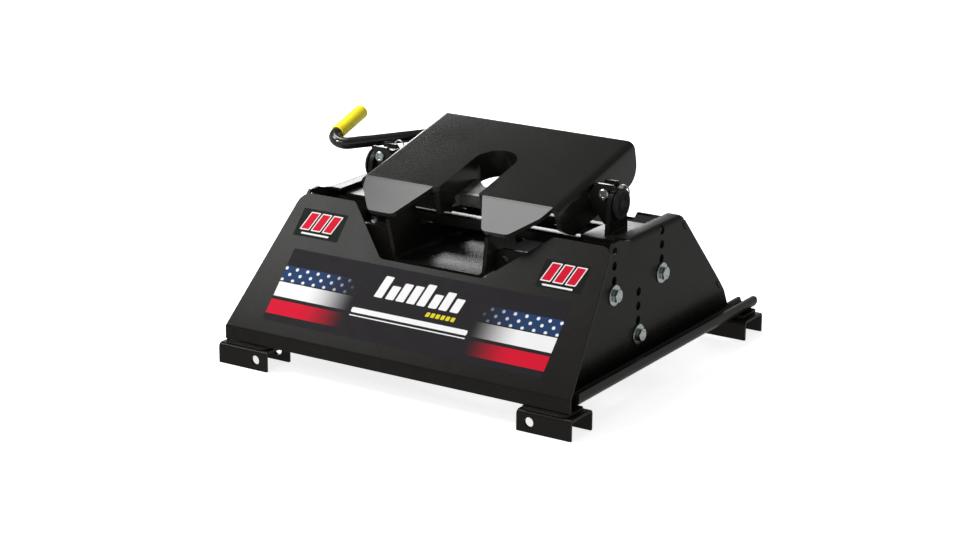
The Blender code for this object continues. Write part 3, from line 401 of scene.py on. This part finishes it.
class Print(Look):
    """A printed label: masks in its own plane, x across and y up, mixed over its ground."""

    def __init__(self, name, ground):
        super().__init__(name, ground, 0.4, specular=0.03)
        parts = self.node("ShaderNodeSeparateXYZ")
        self.put(parts.inputs[0], self.spot)
        self.x, self.y = parts.outputs[0], parts.outputs[1]
        self.now = self.colour

    def box(self, centre, size, radius=0.0, slant=0.0, blur=0.0003):
        """1 inside a round-cornered box, 0 outside; slant leans it to the right."""
        lean = self.math('MULTIPLY_ADD', self.y, slant, centre[0] - slant * centre[1])
        x = self.math('SUBTRACT', self.x, lean)
        y = self.math('SUBTRACT', self.y, centre[1])
        over = []
        for value, half in ((x, size[0] / 2), (y, size[1] / 2)):
            over.append(self.math('SUBTRACT', self.math('ABSOLUTE', value), half - radius))
        outside = [self.math('MAXIMUM', value, 0.0) for value in over]
        rise = self.math('MULTIPLY', outside[1], outside[1])
        square = self.math('MULTIPLY_ADD', outside[0], outside[0], rise)
        inner = self.math('MINIMUM', self.math('MAXIMUM', over[0], over[1]), 0.0)
        distance = self.math('ADD', self.math('SQRT', square), inner)
        return self.remap(distance, radius - blur, radius + blur, 1.0, 0.0)

    def dots(self, pitch, radius, shift):
        """A square grid of round dots."""
        offsets = []
        for value, move in ((self.x, shift[0]), (self.y, shift[1])):
            cell = self.math('FRACT', self.math('MULTIPLY_ADD', value, 1 / pitch, move))
            offsets.append(self.math('SUBTRACT', cell, 0.5))
        rise = self.math('MULTIPLY', offsets[1], offsets[1])
        square = self.math('MULTIPLY_ADD', offsets[0], offsets[0], rise)
        share = radius / pitch
        return self.remap(self.math('SQRT', square), 0.85 * share, 1.15 * share, 1.0, 0.0)

    def paint(self, mask, colour):
        self.now = self.mix(mask, self.now, (*colour, 1))

    def done(self):
        self.put(self.shader.inputs["Base Color"], self.now)
        self.rough(self.remap(self.noise(60, 2), 0.3, 0.7, 0.35, 0.45))
        self.bump((self.noise(900, 2), 0.12, 0.00002))
        return self.material


WHITE, RED, BLUE = (0.95, 0.95, 0.95), (0.7, 0.01, 0.036), (0.022, 0.055, 0.15)
YELLOW = (0.8, 0.68, 0.03)
LABEL_GROUND, BADGE_GROUND = (0.021, 0.019, 0.021), (0.012, 0.014, 0.012)

# The panel's label: distances down the slope from the panel's top edge
LABEL_TOP, LABEL_BOTTOM, LABEL_WIDTH = 3.93 * IN, 8.98 * IN, 20.2 * IN
LABEL_MIDDLE = (LABEL_TOP + LABEL_BOTTOM) / 2
BAND_WIDTH = 21 * IN                           # past both ends of the label
FADE_START, FADE_END = 4.3 * IN, 7.9 * IN      # from the middle, where the bands come in
BLUE_BAND, WHITE_BAND, RED_BAND = (5.68 * IN, 1.06 * IN), (6.8 * IN, 1.0 * IN), (8.02 * IN, 0.98 * IN)
DOT_PITCH, DOT_RADIUS = 0.8 * IN, 0.11 * IN
DOT_SHIFTS = ((0.0, 0.1), (0.5, 0.6))          # two staggered grids, as shares of the pitch
NAME_HEIGHTS = (1.5, 0.95, 1.25, 1.25, 1.5, 0.95, 1.25, 0.95)
LEAN = 0.2                                     # how far the blank name blocks lean


def panel_label():
    """Three bands that fade out toward the middle, and a blank name bar with underlines."""
    look = Print("panel_label_print", LABEL_GROUND)
    fade = look.remap(look.math('ABSOLUTE', look.x), FADE_START, FADE_END, smooth=True)

    def band(down_and_height):
        down, height = down_and_height
        stripe = look.box((0, LABEL_MIDDLE - down), (BAND_WIDTH, height))
        return look.math('MULTIPLY', stripe, fade)

    blue = band(BLUE_BAND)
    look.paint(blue, BLUE)
    for shift in DOT_SHIFTS:
        look.paint(look.math('MULTIPLY', look.dots(DOT_PITCH, DOT_RADIUS, shift), blue), WHITE)
    look.paint(band(WHITE_BAND), WHITE)
    look.paint(band(RED_BAND), RED)
    name_at, block = LABEL_MIDDLE - 5.35 * IN, 0.78 * IN
    for k, tall in enumerate(NAME_HEIGHTS):
        spot = ((k - 3.5) * block + 0.1 * IN, name_at + (tall / 2 - 0.7) * IN)
        look.paint(look.box(spot, (0.6 * IN, tall * IN), 0.08 * IN, LEAN), WHITE)
    for k in range(6):
        spot = ((1.1 + 0.36 * k) * IN, LABEL_MIDDLE - 6.5 * IN)
        look.paint(look.box(spot, (0.26 * IN, 0.3 * IN), 0.05 * IN, LEAN), YELLOW)
    for down, height, corner in ((7.15 * IN, 0.34 * IN, 0.1 * IN), (7.52 * IN, 0.07 * IN, 0.03 * IN)):
        look.paint(look.box((0, LABEL_MIDDLE - down), (8.4 * IN, height), corner), WHITE)
    return look.done()


def badge(name):
    """A small dark patch with three slanted red bars edged in white."""
    look = Print(name, BADGE_GROUND)
    lean = 0.28
    for k in (-1, 0, 1):
        spot = (k * 0.86 * IN, 0.14 * IN)
        look.paint(look.box(spot, (0.72 * IN, 1.3 * IN), 0.05 * IN, lean), WHITE)
        look.paint(look.box(spot, (0.58 * IN, 1.16 * IN), 0.03 * IN, lean), RED)
    look.paint(look.box((-0.1 * IN, -0.74 * IN), (2.1 * IN, 0.12 * IN), 0.05 * IN), WHITE)
    return look.done()


def sticker(name, look, centre, size):
    """A thin vinyl label on the rear panel; centre is (across, down the slope)."""
    place = PANEL @ Matrix.Translation((centre[0], -centre[1], LABEL_GAP))
    mesh = slab_mesh(name, rounded_box(*size, 0.08 * IN), 0, LABEL_THICK)
    return add_piece(name, mesh, "base", look, place)


def labels():
    sticker("panel_label", panel_label(), (0.05 * IN, LABEL_MIDDLE),
            (LABEL_WIDTH, LABEL_BOTTOM - LABEL_TOP))
    sticker("badge_left", badge("badge_left_print"), (-8.95 * IN, 2.05 * IN), (3.4 * IN, 1.95 * IN))
    sticker("badge_right", badge("badge_right_print"), (8.9 * IN, 2.4 * IN), (3.1 * IN, 1.85 * IN))


# ---------------------------------------------------------- finish on the CAD

SHARP, RAMP_FOLD = 32, 16            # degrees: edges rounded in general, and the ramps' 17 degree fold


def smooth_group():
    """Geometry nodes that drop the facets' stored normals and sharp marks."""
    group = bpy.data.node_groups.new("smooth_shading", 'GeometryNodeTree')
    for way in ('INPUT', 'OUTPUT'):
        group.interface.new_socket("Geometry", in_out=way, socket_type='NodeSocketGeometry')
    flow = group.nodes.new("NodeGroupInput").outputs[0]
    for name in ("custom_normal", "sharp_edge", "sharp_face"):
        drop = group.nodes.new("GeometryNodeRemoveAttribute")
        drop.inputs["Name"].default_value = name
        group.links.new(flow, drop.inputs["Geometry"])
        flow = drop.outputs["Geometry"]
    group.links.new(flow, group.nodes.new("NodeGroupOutput").inputs[0])
    return group


def refine(node, limit, smoothing):
    """Modifiers that shade a CAD node's bends smooth and round its edges; its mesh stays as it is."""
    shading = node.modifiers.new("shading", 'NODES')
    shading.node_group = smoothing
    weld = node.modifiers.new("weld", 'WELD')
    weld.merge_threshold = 0.00001
    flat = node.modifiers.new("flat", 'DECIMATE')
    flat.decimate_type = 'DISSOLVE'
    flat.angle_limit = math.radians(0.6)
    edge = node.modifiers.new("edges", 'BEVEL')
    edge.width = 0.0006
    edge.segments = 2
    edge.limit_method = 'ANGLE'
    edge.angle_limit = math.radians(limit)
    edge.use_clamp_overlap = True
    edge.harden_normals = True
    edge.miter_outer = 'MITER_ARC'


def finish_cad():
    """Gives every CAD node its slot's material and its rounded edges."""
    slots = {part["node"]: part["material_slot"] for part in frame["record"]["subparts"]}
    smoothing = smooth_group()
    for name, node in frame["nodes"].items():
        for place in node.material_slots:
            place.material = LOOKS[slots[name]]
        refine(node, RAMP_FOLD if name == "skid_plate" else SHARP, smoothing)


# ------------------------------------------------------------------ fasteners

def hex_head_mesh(name, flat, height, steps=60):
    """A hex head on its washer face at z = 0, its upper corners turned off at 30 degrees."""
    def across(turn):
        lean = (turn + math.pi / 6) % (math.pi / 3) - math.pi / 6
        return min(flat / math.cos(lean), flat * 1.145)
    edge, foot, dish = 0.95 * flat, 0.0005, 0.0004
    drop = math.tan(math.radians(30))
    bm = bmesh.new()
    rings = []
    for radius_at, height_at in ((lambda _: edge, lambda _: 0.0),
                                 (lambda _: edge, lambda _: foot),
                                 (across, lambda _: foot),
                                 (across, lambda radius: height - (radius - edge) * drop),
                                 (lambda _: edge, lambda _: height),
                                 (lambda _: 0.62 * flat, lambda _: height),
                                 (lambda _: 0.55 * flat, lambda _: height - dish)):
        rings.append(ring_of(bm, radius_at, height_at, steps))
    rings.append([bm.verts.new((0, 0, height - dish))])
    link_rings(bm, rings)
    bm.faces.new(rings[0])
    bmesh.ops.remove_doubles(bm, verts=bm.verts, dist=1e-7)
    return to_mesh(bm, name, 28)


THREAD_PITCH = 0.0014


def threaded_profile(radius, low, high):
    """A thread's profile as close ridges between two heights, its tip chamfered."""
    profile = [(0, high), (radius * 0.8, high), (radius, high - radius * 0.2)]
    height = high - radius * 0.2
    while height - THREAD_PITCH > low:
        profile += [(radius * 0.88, height - THREAD_PITCH * 0.5), (radius, height - THREAD_PITCH)]
        height -= THREAD_PITCH
    return profile + [(radius, low), (0, low)]


def seat_frame(point, out):
    """A frame on a face that looks out, its x along Y or X."""
    across = Y_AXIS if abs(Vector(out).x) > 0.5 else X_AXIS
    return place_on(point, across, out)


BEARING_GAP = 0.0002
FRAME_HEX = 0.375 * IN                         # half the width across the flats
WASHER_BORE, SHANK_R = 0.266 * IN, 0.24 * IN
HEX_TURN = 0.35                                # radians, as a wrench leaves a bolt


def washer_profile(outer, thick):
    """A stamped washer: its outer corner is rolled, its bore slightly broken."""
    bore, roll, small = WASHER_BORE, 0.0006, 0.0004
    return [(bore, 0), (outer - small, 0), (outer, small), (outer, thick - roll),
            (outer - roll, thick), (bore + small, thick), (bore, thick - small)]


def frame_bolt(label, side):
    """A washer and a hex bolt on the web, in the place of the CAD ones."""
    look = LOOKS["zinc_plate"]
    washer, bolt = "frame_washer_" + label, "frame_bolt_" + label
    low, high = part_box(washer)
    centre = (low + high) / 2
    inner_x, outer_x = sorted((abs(low.x), abs(high.x)))
    thick = high.x - low.x
    place = seat_frame(Vector((side * inner_x, centre.y, centre.z)), (side, 0, 0))
    mesh = turned_mesh(washer, washer_profile((high.z - low.z) / 2, thick), 64, True)
    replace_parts(add_piece(washer + "_fine", mesh, "base", look, place), washer)
    bolt_low, bolt_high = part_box(bolt)
    root, tip = sorted((abs(bolt_low.x), abs(bolt_high.x)))
    height = tip - outer_x - BEARING_GAP
    turn = Matrix.Rotation(HEX_TURN, 4, 'Z')
    seat = place @ Matrix.Translation((0, 0, thick + BEARING_GAP)) @ turn
    mesh = hex_head_mesh(bolt, FRAME_HEX, height)
    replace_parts(add_piece(bolt + "_head", mesh, "base", look, seat), bolt)
    mesh = turned_mesh(bolt + "_shank", threaded_profile(SHANK_R, 0, tip - root - height), 32)
    add_piece(bolt + "_thread", mesh, "base", look,
              seat @ Matrix.Rotation(math.pi, 4, 'X'))


def frame_fasteners():
    for word, side in SIDES:
        for label in ("rear", "front", "lower"):
            frame_bolt(f"{word}_{label}", side)


# ------------------------------------------------------------ pivots and lock

CLEVIS_X, CLEVIS_Z = 8.25 * IN, 0.63 * IN      # clevis pin, from the pivot axis
CHEEK_FACE = 0.62 * IN
CLIP_Y, CLIP_RING, CLIP_WIRE = 1.3 * IN, 0.38 * IN, 0.05 * IN
CLIP_TURNS = {1: math.radians(-30), -1: math.radians(62)}     # by side, about Y
PIN_R, PIN_HEAD_R, PIN_HEAD_THICK = 0.198 * IN, 0.34 * IN, 0.13 * IN
PIN_TIP_HALF = 0.2 * IN                        # the hole's middle to each side of the pin
CAP_X, CAP_R, CAP_THICK, CAP_RIBS = 9.07 * IN, 0.98 * IN, 0.16 * IN, 30


def clevis_pin(word, side):
    """The pin: a dimpled round head at its rear end and a chamfered tip."""
    face = CHEEK_FACE + 0.0003
    place = place_on(PIVOT + Vector((side * CLEVIS_X, 0, CLEVIS_Z)), X_AXIS, -Y_AXIS)
    shaft, head, thick, tip = PIN_R, PIN_HEAD_R, PIN_HEAD_THICK, CLIP_Y + 0.2 * IN
    profile = [(0, face + 0.7 * thick), (0.45 * head, face + 0.7 * thick),
               (0.55 * head, face + thick), (0.8 * head, face + thick),
               (head, face + 0.55 * thick), (head, face + 0.1 * thick), (0.95 * head, face),
               (shaft, face), (shaft, -tip + 0.0015), (shaft - 0.001, -tip), (0, -tip)]
    name = f"clevis_pin_{word}"
    pin = add_piece(name + "_fine", turned_mesh(name, profile), "head", LOOKS["zinc_plate"],
                    place)
    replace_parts(pin, name)


def clevis_clip(word, side):
    """The ring clip through the pin's cross hole, hanging to one side."""
    turn = CLIP_TURNS[side]
    sag = CLIP_RING - math.sqrt(CLIP_RING ** 2 - PIN_TIP_HALF ** 2)
    reach = CLIP_RING - sag / 2
    centre = PIVOT + Vector((side * CLEVIS_X + reach * math.cos(turn), CLIP_Y,
                             CLEVIS_Z + reach * math.sin(turn)))
    steps = 72
    ring = []
    for k in range(steps):
        spot = math.tau * k / steps
        ring.append(centre + CLIP_RING * Vector((math.cos(spot), 0, math.sin(spot))))
    name = f"clevis_clip_{word}"
    clip = add_piece(name + "_fine", swept_mesh(name, ring, lambda _: CLIP_WIRE, 14, True), "head",
                     LOOKS["zinc_plate"])
    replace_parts(clip, name)


def ribbed_disc(name, rim, thick, steps=240):
    """A moulded cap: a plain hub and rim with radial ribs sunk between them."""
    inner, outer = 0.3 * rim, 0.8 * rim
    stations = [(inner * k / 3, thick) for k in (1, 2, 3)]
    stations += [(inner + (outer - inner) * k / 10, None) for k in range(1, 10)]
    stations += [(outer, thick), (0.92 * rim, thick), (0.98 * rim, 0.86 * thick), (rim, 0.6 * thick),
                 (rim, 0)]
    bm = bmesh.new()
    rings = [[bm.verts.new((0, 0, thick))]]
    for radius, height in stations:
        ring = []
        for k in range(steps):
            turn = math.tau * k / steps
            lift = 0.5 + 0.5 * math.tanh(3 * math.sin(CAP_RIBS * turn))
            here = thick * (0.72 + 0.22 * lift) if height is None else height
            ring.append(bm.verts.new((radius * math.cos(turn), radius * math.sin(turn), here)))
        rings.append(ring)
    link_rings(bm, rings)
    bm.faces.new(rings[-1])
    return to_mesh(bm, name, 40)


def pivot_caps():
    for word, side in SIDES:
        name = f"pivot_cap_{word}"
        place = seat_frame(PIVOT + Vector((side * CAP_X, 0, 0)), (side, 0, 0))
        cap = add_piece(name + "_fine", ribbed_disc(name, CAP_R, CAP_THICK), "head",
                        LOOKS["black_rubber"], place)
        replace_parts(cap, name)


# The handle's places are in the head's frame
LEVER_THICK, LEVER_END_R, PIN_END_R = 0.25 * IN, 0.75 * IN, 0.4 * IN
LEVER_PIN = Vector((-3.0, -1.0, 0)) * IN
LEVER_HEX = 0.34 * IN
ROD_R, ROD_BEND, GRIP_R = 0.385 * IN, 0.75 * IN, 0.47 * IN
ROD_START = LEVER_SPOT + Vector((-0.55, -0.1, 0.26)) * IN
ROD_WALL = Vector((-7.4, 3.71, 0.51)) * IN
ROD_ELBOW = Vector((-11.95, -1.58, 1.47)) * IN
GRIP_END = Vector((-12.22, 3.5, 1.62)) * IN
GRIP_SHARE, ROD_SHARE = 0.38, 0.93             # along the line from elbow to grip end
GRIP_START, ROD_END = (ROD_ELBOW.lerp(GRIP_END, share) for share in (GRIP_SHARE, ROD_SHARE))
SPRING_STUD, SPRING_POST = Vector((-5.2, 3.35, 0.68)) * IN, Vector((-0.6, 3.35, 0.68)) * IN
STUD_R = 0.1 * IN


def handle():
    """The bent rod, and what is welded to its inner end: lever plate, drive pin and stud."""
    look = LOOKS["gloss_black_rod"]
    bar = smooth_path([ROD_START, ROD_WALL, ROD_ELBOW, ROD_END], ROD_BEND)
    ease = 0.003

    def rod_radius(length):
        """Rounds the inner end of the bar."""
        return ROD_R * (0.8 + 0.2 * min(1, length / ease))

    rod = add_piece("handle_rod_fine", swept_mesh("handle_rod", bar, rod_radius, 40), "handle", look,
                    HEAD)
    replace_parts(rod, "handle_lever")
    lever_plate(look)
    studs = (("drive_pin", LEVER_PIN, 0.22 * IN, -0.8 * IN, 1.2 * IN),
             ("lever_stud", SPRING_STUD, STUD_R, 0.3 * IN, 0.56 * IN))
    for name, spot, radius, foot, height in studs:
        chamfer = 0.0008
        profile = [(0, height), (radius - chamfer, height), (radius, height - chamfer),
                   (radius, 0), (0, 0)]
        add_piece(name, turned_mesh(name, profile, 32), "handle", look,
                  HEAD @ Matrix.Translation((spot.x, spot.y, foot)))


def lever_plate(look):
    centre, pin = Vector(LEVER_SPOT.xy), Vector(LEVER_PIN.xy)
    heading = math.degrees(math.atan2(pin.y - centre.y, pin.x - centre.x))
    outline = arc(centre, LEVER_END_R, heading + 90, heading + 270, 24)
    outline += arc(pin, PIN_END_R, heading - 90, heading + 90, 20)
    low = LEVER_SPOT.z - LEVER_THICK / 2
    mesh = slab_mesh("lever_plate", outline, low, low + LEVER_THICK, 0.0007)
    add_piece("lever_plate", mesh, "handle", look, HEAD)


def grip():
    """The vinyl sleeve: a rolled rim at its mouth and a domed end."""
    axis = (GRIP_END - GRIP_START).normalized()
    length = (GRIP_END - GRIP_START).length
    bore, dome = ROD_R + 0.0004, 0.16 * IN
    end = arc((GRIP_R - dome, length - dome), dome, 90, 0, 8)
    rim = arc((GRIP_R - 0.0012, 0.0012), 0.0012, 0, -90, 5)
    profile = [(0, length)] + end + rim + [(bore, 0), (bore, 0.3 * length), (0, 0.3 * length)]
    turn = Z_AXIS.rotation_difference(axis).to_matrix().to_4x4()
    piece = add_piece("grip_fine", turned_mesh("grip", profile, 56), "handle", LOOKS["yellow_vinyl"],
                      HEAD @ Matrix.Translation(GRIP_START) @ turn)
    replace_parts(piece, "grip")


def lever_bolt():
    """The hex head under the lever plate."""
    low = LEVER_SPOT.z - LEVER_THICK / 2 - 0.0004
    seat = HEAD @ Matrix.Translation((LEVER_SPOT.x, LEVER_SPOT.y, low))
    mesh = hex_head_mesh("lever_bolt", LEVER_HEX, 0.72 * LEVER_HEX)
    head = add_piece("lever_bolt_head", mesh, "head", LOOKS["zinc_plate"],
                     seat @ Matrix.Rotation(math.pi, 4, 'X'))
    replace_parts(head, "lever_bolt")


def return_spring():
    """A close-wound extension spring, hooked on the lever's stud and the plate's post."""
    turns, radius, wire, steps = 22, 0.19 * IN, 0.045 * IN, 20
    loop, lead = STUD_R + 0.09 * IN, 0.35 * IN
    low, high = SPRING_STUD.x + loop + lead, SPRING_POST.x - loop - lead
    hooks = []
    for centre, facing in ((SPRING_STUD, 1), (SPRING_POST, -1)):
        curl = arc((0, 0), loop, 45, 315, 20)
        hooks.append([centre + Vector((facing * x, y, 0)) for x, y in curl])
    coil = []
    for k in range(turns * steps + 1):
        turn = math.tau * k / steps
        coil.append(Vector((low + (high - low) * k / (turns * steps),
                            SPRING_STUD.y + radius * math.cos(turn),
                            SPRING_STUD.z + radius * math.sin(turn))))
    points = hooks[0] + coil + hooks[1][::-1]
    mesh = swept_mesh("return_spring", points, lambda _: wire, 8)
    spring = bpy.data.objects.new("return_spring_fine", mesh)
    bpy.context.scene.collection.objects.link(spring)
    spring.matrix_world = HEAD
    mesh.materials.append(LOOKS["spring_steel"])
    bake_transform(spring)
    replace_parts(spring, "return_spring")


# ----------------------------------------------------------------- weld beads

RIPPLE = 0.0024


def bead(name, ends, size, body, slot, place=Matrix()):
    """A straight run of weld under the paint, with the ripples of its puddles."""
    first, last = (Vector(end) for end in ends)
    whole = (last - first).length
    count = max(2, int(whole / (RIPPLE / 4)))
    fine = [first.lerp(last, k / count) for k in range(count)] + [last]

    def radius_at(length):
        taper = min(1.0, 0.25 + min(length, whole - length) / (2 * size))
        return size * taper * (1 + 0.09 * math.sin(math.tau * length / RIPPLE))

    add_piece(name, swept_mesh(name, fine, radius_at, 10), body, LOOKS[slot], place)


# Where the welded plates meet, in world axes for the base
STAND_FACE, STAND_THICK, STAND_WELD = 8.65 * IN, 0.3 * IN, 1.1 * IN
BAR_TOP, STAND_FOOT_THICK = 8.98 * IN, 0.25 * IN
STAND_FOOT_X, STAND_FOOT_Y = (7.65 * IN, 9.85 * IN), (-2.45 * IN, 1.65 * IN)
HEAD_WALL, SEAT_SIDE, SEAT_UNDER = 7.2 * IN, 1.85 * IN, 1.06 * IN
BASE_BEAD, HEAD_BEAD = 0.075 * IN, 0.08 * IN


def base_bead(name, *ends):
    bead("bead_" + name, ends, BASE_BEAD, "base", "black_powder_coat")


def base_beads():
    """Fillets of the frame: pads to feet, stands to their feet and bars, and the trough's sides."""
    for word, side in SIDES:
        for place in ("rear", "front"):
            low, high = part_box(f"foot_pad_{place}_{word}")
            first, last, z = low.x + 0.2 * IN, high.x - 0.2 * IN, low.z + 0.5 * BASE_BEAD
            for edge, y in (("inner", low.y), ("outer", high.y)):
                base_bead(f"pad_{place}_{word}_{edge}", (first, y, z), (last, y, z))
        first, last = PIVOT.y - STAND_WELD, PIVOT.y + STAND_WELD
        z = BAR_TOP + STAND_FOOT_THICK
        for label, x in (("inner", STAND_FACE), ("outer", STAND_FACE + STAND_THICK)):
            base_bead(f"stand_{word}_{label}", (side * x, first, z), (side * x, last, z))
        first, last = (side * x for x in STAND_FOOT_X)
        for label, y in zip(("rear", "front"), STAND_FOOT_Y):
            base_bead(f"stand_base_{word}_{label}", (first, y, BAR_TOP), (last, y, BAR_TOP))
        base_bead(f"trough_{word}", (side * 3.42 * IN, -5.45 * IN, 6.95 * IN),
                  (side * 3.6 * IN, -5.45 * IN, 8.4 * IN))


def head_beads():
    """Fillets of the head: clevis cheeks to its walls, and the throat wall under its plate."""
    slot = "head_powder_coat"
    for word, side in SIDES:
        wall = side * HEAD_WALL
        for label, y in (("rear", -CHEEK_FACE), ("front", CHEEK_FACE)):
            ends = [(wall, y, 0.17 * IN), (wall, y, 0.6 * IN)]
            bead(f"bead_clevis_{word}_{label}", ends, HEAD_BEAD, "head", slot,
                 Matrix.Translation(PIVOT))
        outer = side * SEAT_SIDE
        ends = [(outer, -3.7 * IN, SEAT_UNDER), (outer, 0.33 * IN, SEAT_UNDER)]
        bead(f"bead_seat_{word}", ends, HEAD_BEAD, "head", slot, HEAD)


# --------------------------------------------------------------------- studio

def floor():
    """A white floor that is lit from below too, as a light table is."""
    bpy.ops.mesh.primitive_plane_add(size=80)
    ground = bpy.context.object
    ground.name = "studio_floor"
    look = Look("studio_floor", (0.9, 0.9, 0.9), 0.85, specular=0.1)
    look.tint(look.noise(0.6, 2), (0.93, 0.93, 0.93))
    look.shader.inputs["Emission Color"].default_value = (1, 1, 1, 1)
    look.shader.inputs["Emission Strength"].default_value = 0.8
    ground.data.materials.append(look.material)
    ground.visible_glossy = False               # the webs mirror the dimmer world below it


def hang_lamp(lamp, spot, aim):
    holder = bpy.data.objects.new(lamp.name, lamp)
    bpy.context.scene.collection.objects.link(holder)
    holder.location = spot
    holder.rotation_euler = (Vector(aim) - Vector(spot)).to_track_quat('-Z', 'Y').to_euler()
    holder.visible_camera = False


def soft_box(name, spot, aim, size, radiance):
    """A rectangular light; radiance is the brightness its face shows in a mirror."""
    lamp = bpy.data.lights.new(name, 'AREA')
    lamp.shape = 'RECTANGLE'
    lamp.size, lamp.size_y = size
    lamp.energy = radiance * math.pi * size[0] * size[1]
    hang_lamp(lamp, spot, aim)


def narrow_spot(name, spot, aim, watts, cone):
    lamp = bpy.data.lights.new(name, 'SPOT')
    lamp.energy, lamp.spot_size, lamp.spot_blend = watts, cone, 0.6
    lamp.shadow_soft_size = 0.1
    hang_lamp(lamp, spot, aim)


def lights():
    """The boxes stand where the ramps, level faces and rear panel mirror them to the camera."""
    soft_box("overhead_left", (-1.0, 0.12, 2.4), (0, 0, 0.25), (1.1, 1.1), 8.0)
    soft_box("rear_left", (-1.75, 2.35, 1.0), (0, 0, 0.2), (1.3, 0.7), 8.0)
    soft_box("panel_light", (-2.0, -1.05, 2.4), (0, -0.2, 0.15), (1.0, 1.0), 10.5)
    soft_box("camera_fill", (-0.2, -3.2, 2.6), (0, 0, 0.2), (1.2, 1.2), 3.0)
    grip_middle = HEAD @ GRIP_START.lerp(GRIP_END, 0.5)
    narrow_spot("grip_spot", (-0.9, -1.5, 1.3), grip_middle, 110.0, math.radians(9))


def grey(level):
    return (level, level, level, 1)


def world():
    """A grey room, brightest at the horizon, dimmer below it and overhead."""
    made = bpy.data.worlds.new("studio")
    bpy.context.scene.world = made
    made.use_nodes = True
    tree = made.node_tree
    spot = tree.nodes.new("ShaderNodeTexCoord")
    parts = tree.nodes.new("ShaderNodeSeparateXYZ")
    ramp = tree.nodes.new("ShaderNodeValToRGB")
    tree.links.new(spot.outputs["Generated"], parts.inputs[0])
    tree.links.new(parts.outputs[2], ramp.inputs[0])
    stops = ramp.color_ramp.elements
    stops[0].position, stops[0].color = 0.0, grey(0.5)
    stops[1].position, stops[1].color = 0.4, grey(0.16)
    for height, level in ((0.02, 0.65), (0.25, 0.5)):
        stops.new(height).color = grey(level)
    tree.links.new(ramp.outputs[0], tree.nodes["Background"].inputs[0])


def camera():
    """At the object's rear right, a little above, with a long lens."""
    yaw, rise, roll = (math.radians(angle) for angle in (32.33, 17.06, 0.44))
    aim, distance = Vector((-0.0148, -0.0004, 0.1183)), 4.0
    back = Vector((math.sin(yaw) * math.cos(rise), -math.cos(yaw) * math.cos(rise),
                   math.sin(rise)))
    level = Vector((math.cos(yaw), math.sin(yaw), 0))
    right = math.cos(roll) * level + math.sin(roll) * back.cross(level)
    turn = Matrix((right, back.cross(right), back)).transposed().to_4x4()
    lens = bpy.data.cameras.new("camera")
    lens.lens = 91.19
    lens.clip_end = 200
    holder = bpy.data.objects.new("camera", lens)
    bpy.context.scene.collection.objects.link(holder)
    holder.matrix_world = Matrix.Translation(aim + back * distance) @ turn
    bpy.context.scene.camera = holder


def build():
    camera()
    finish_cad()
    labels()
    frame_fasteners()
    for word, side in SIDES:
        clevis_pin(word, side)
        clevis_clip(word, side)
    pivot_caps()
    handle()
    grip()
    lever_bolt()
    return_spring()
    base_beads()
    head_beads()
    floor()
    lights()
    world()
    bpy.context.scene.view_settings.view_transform = 'Standard'


build()
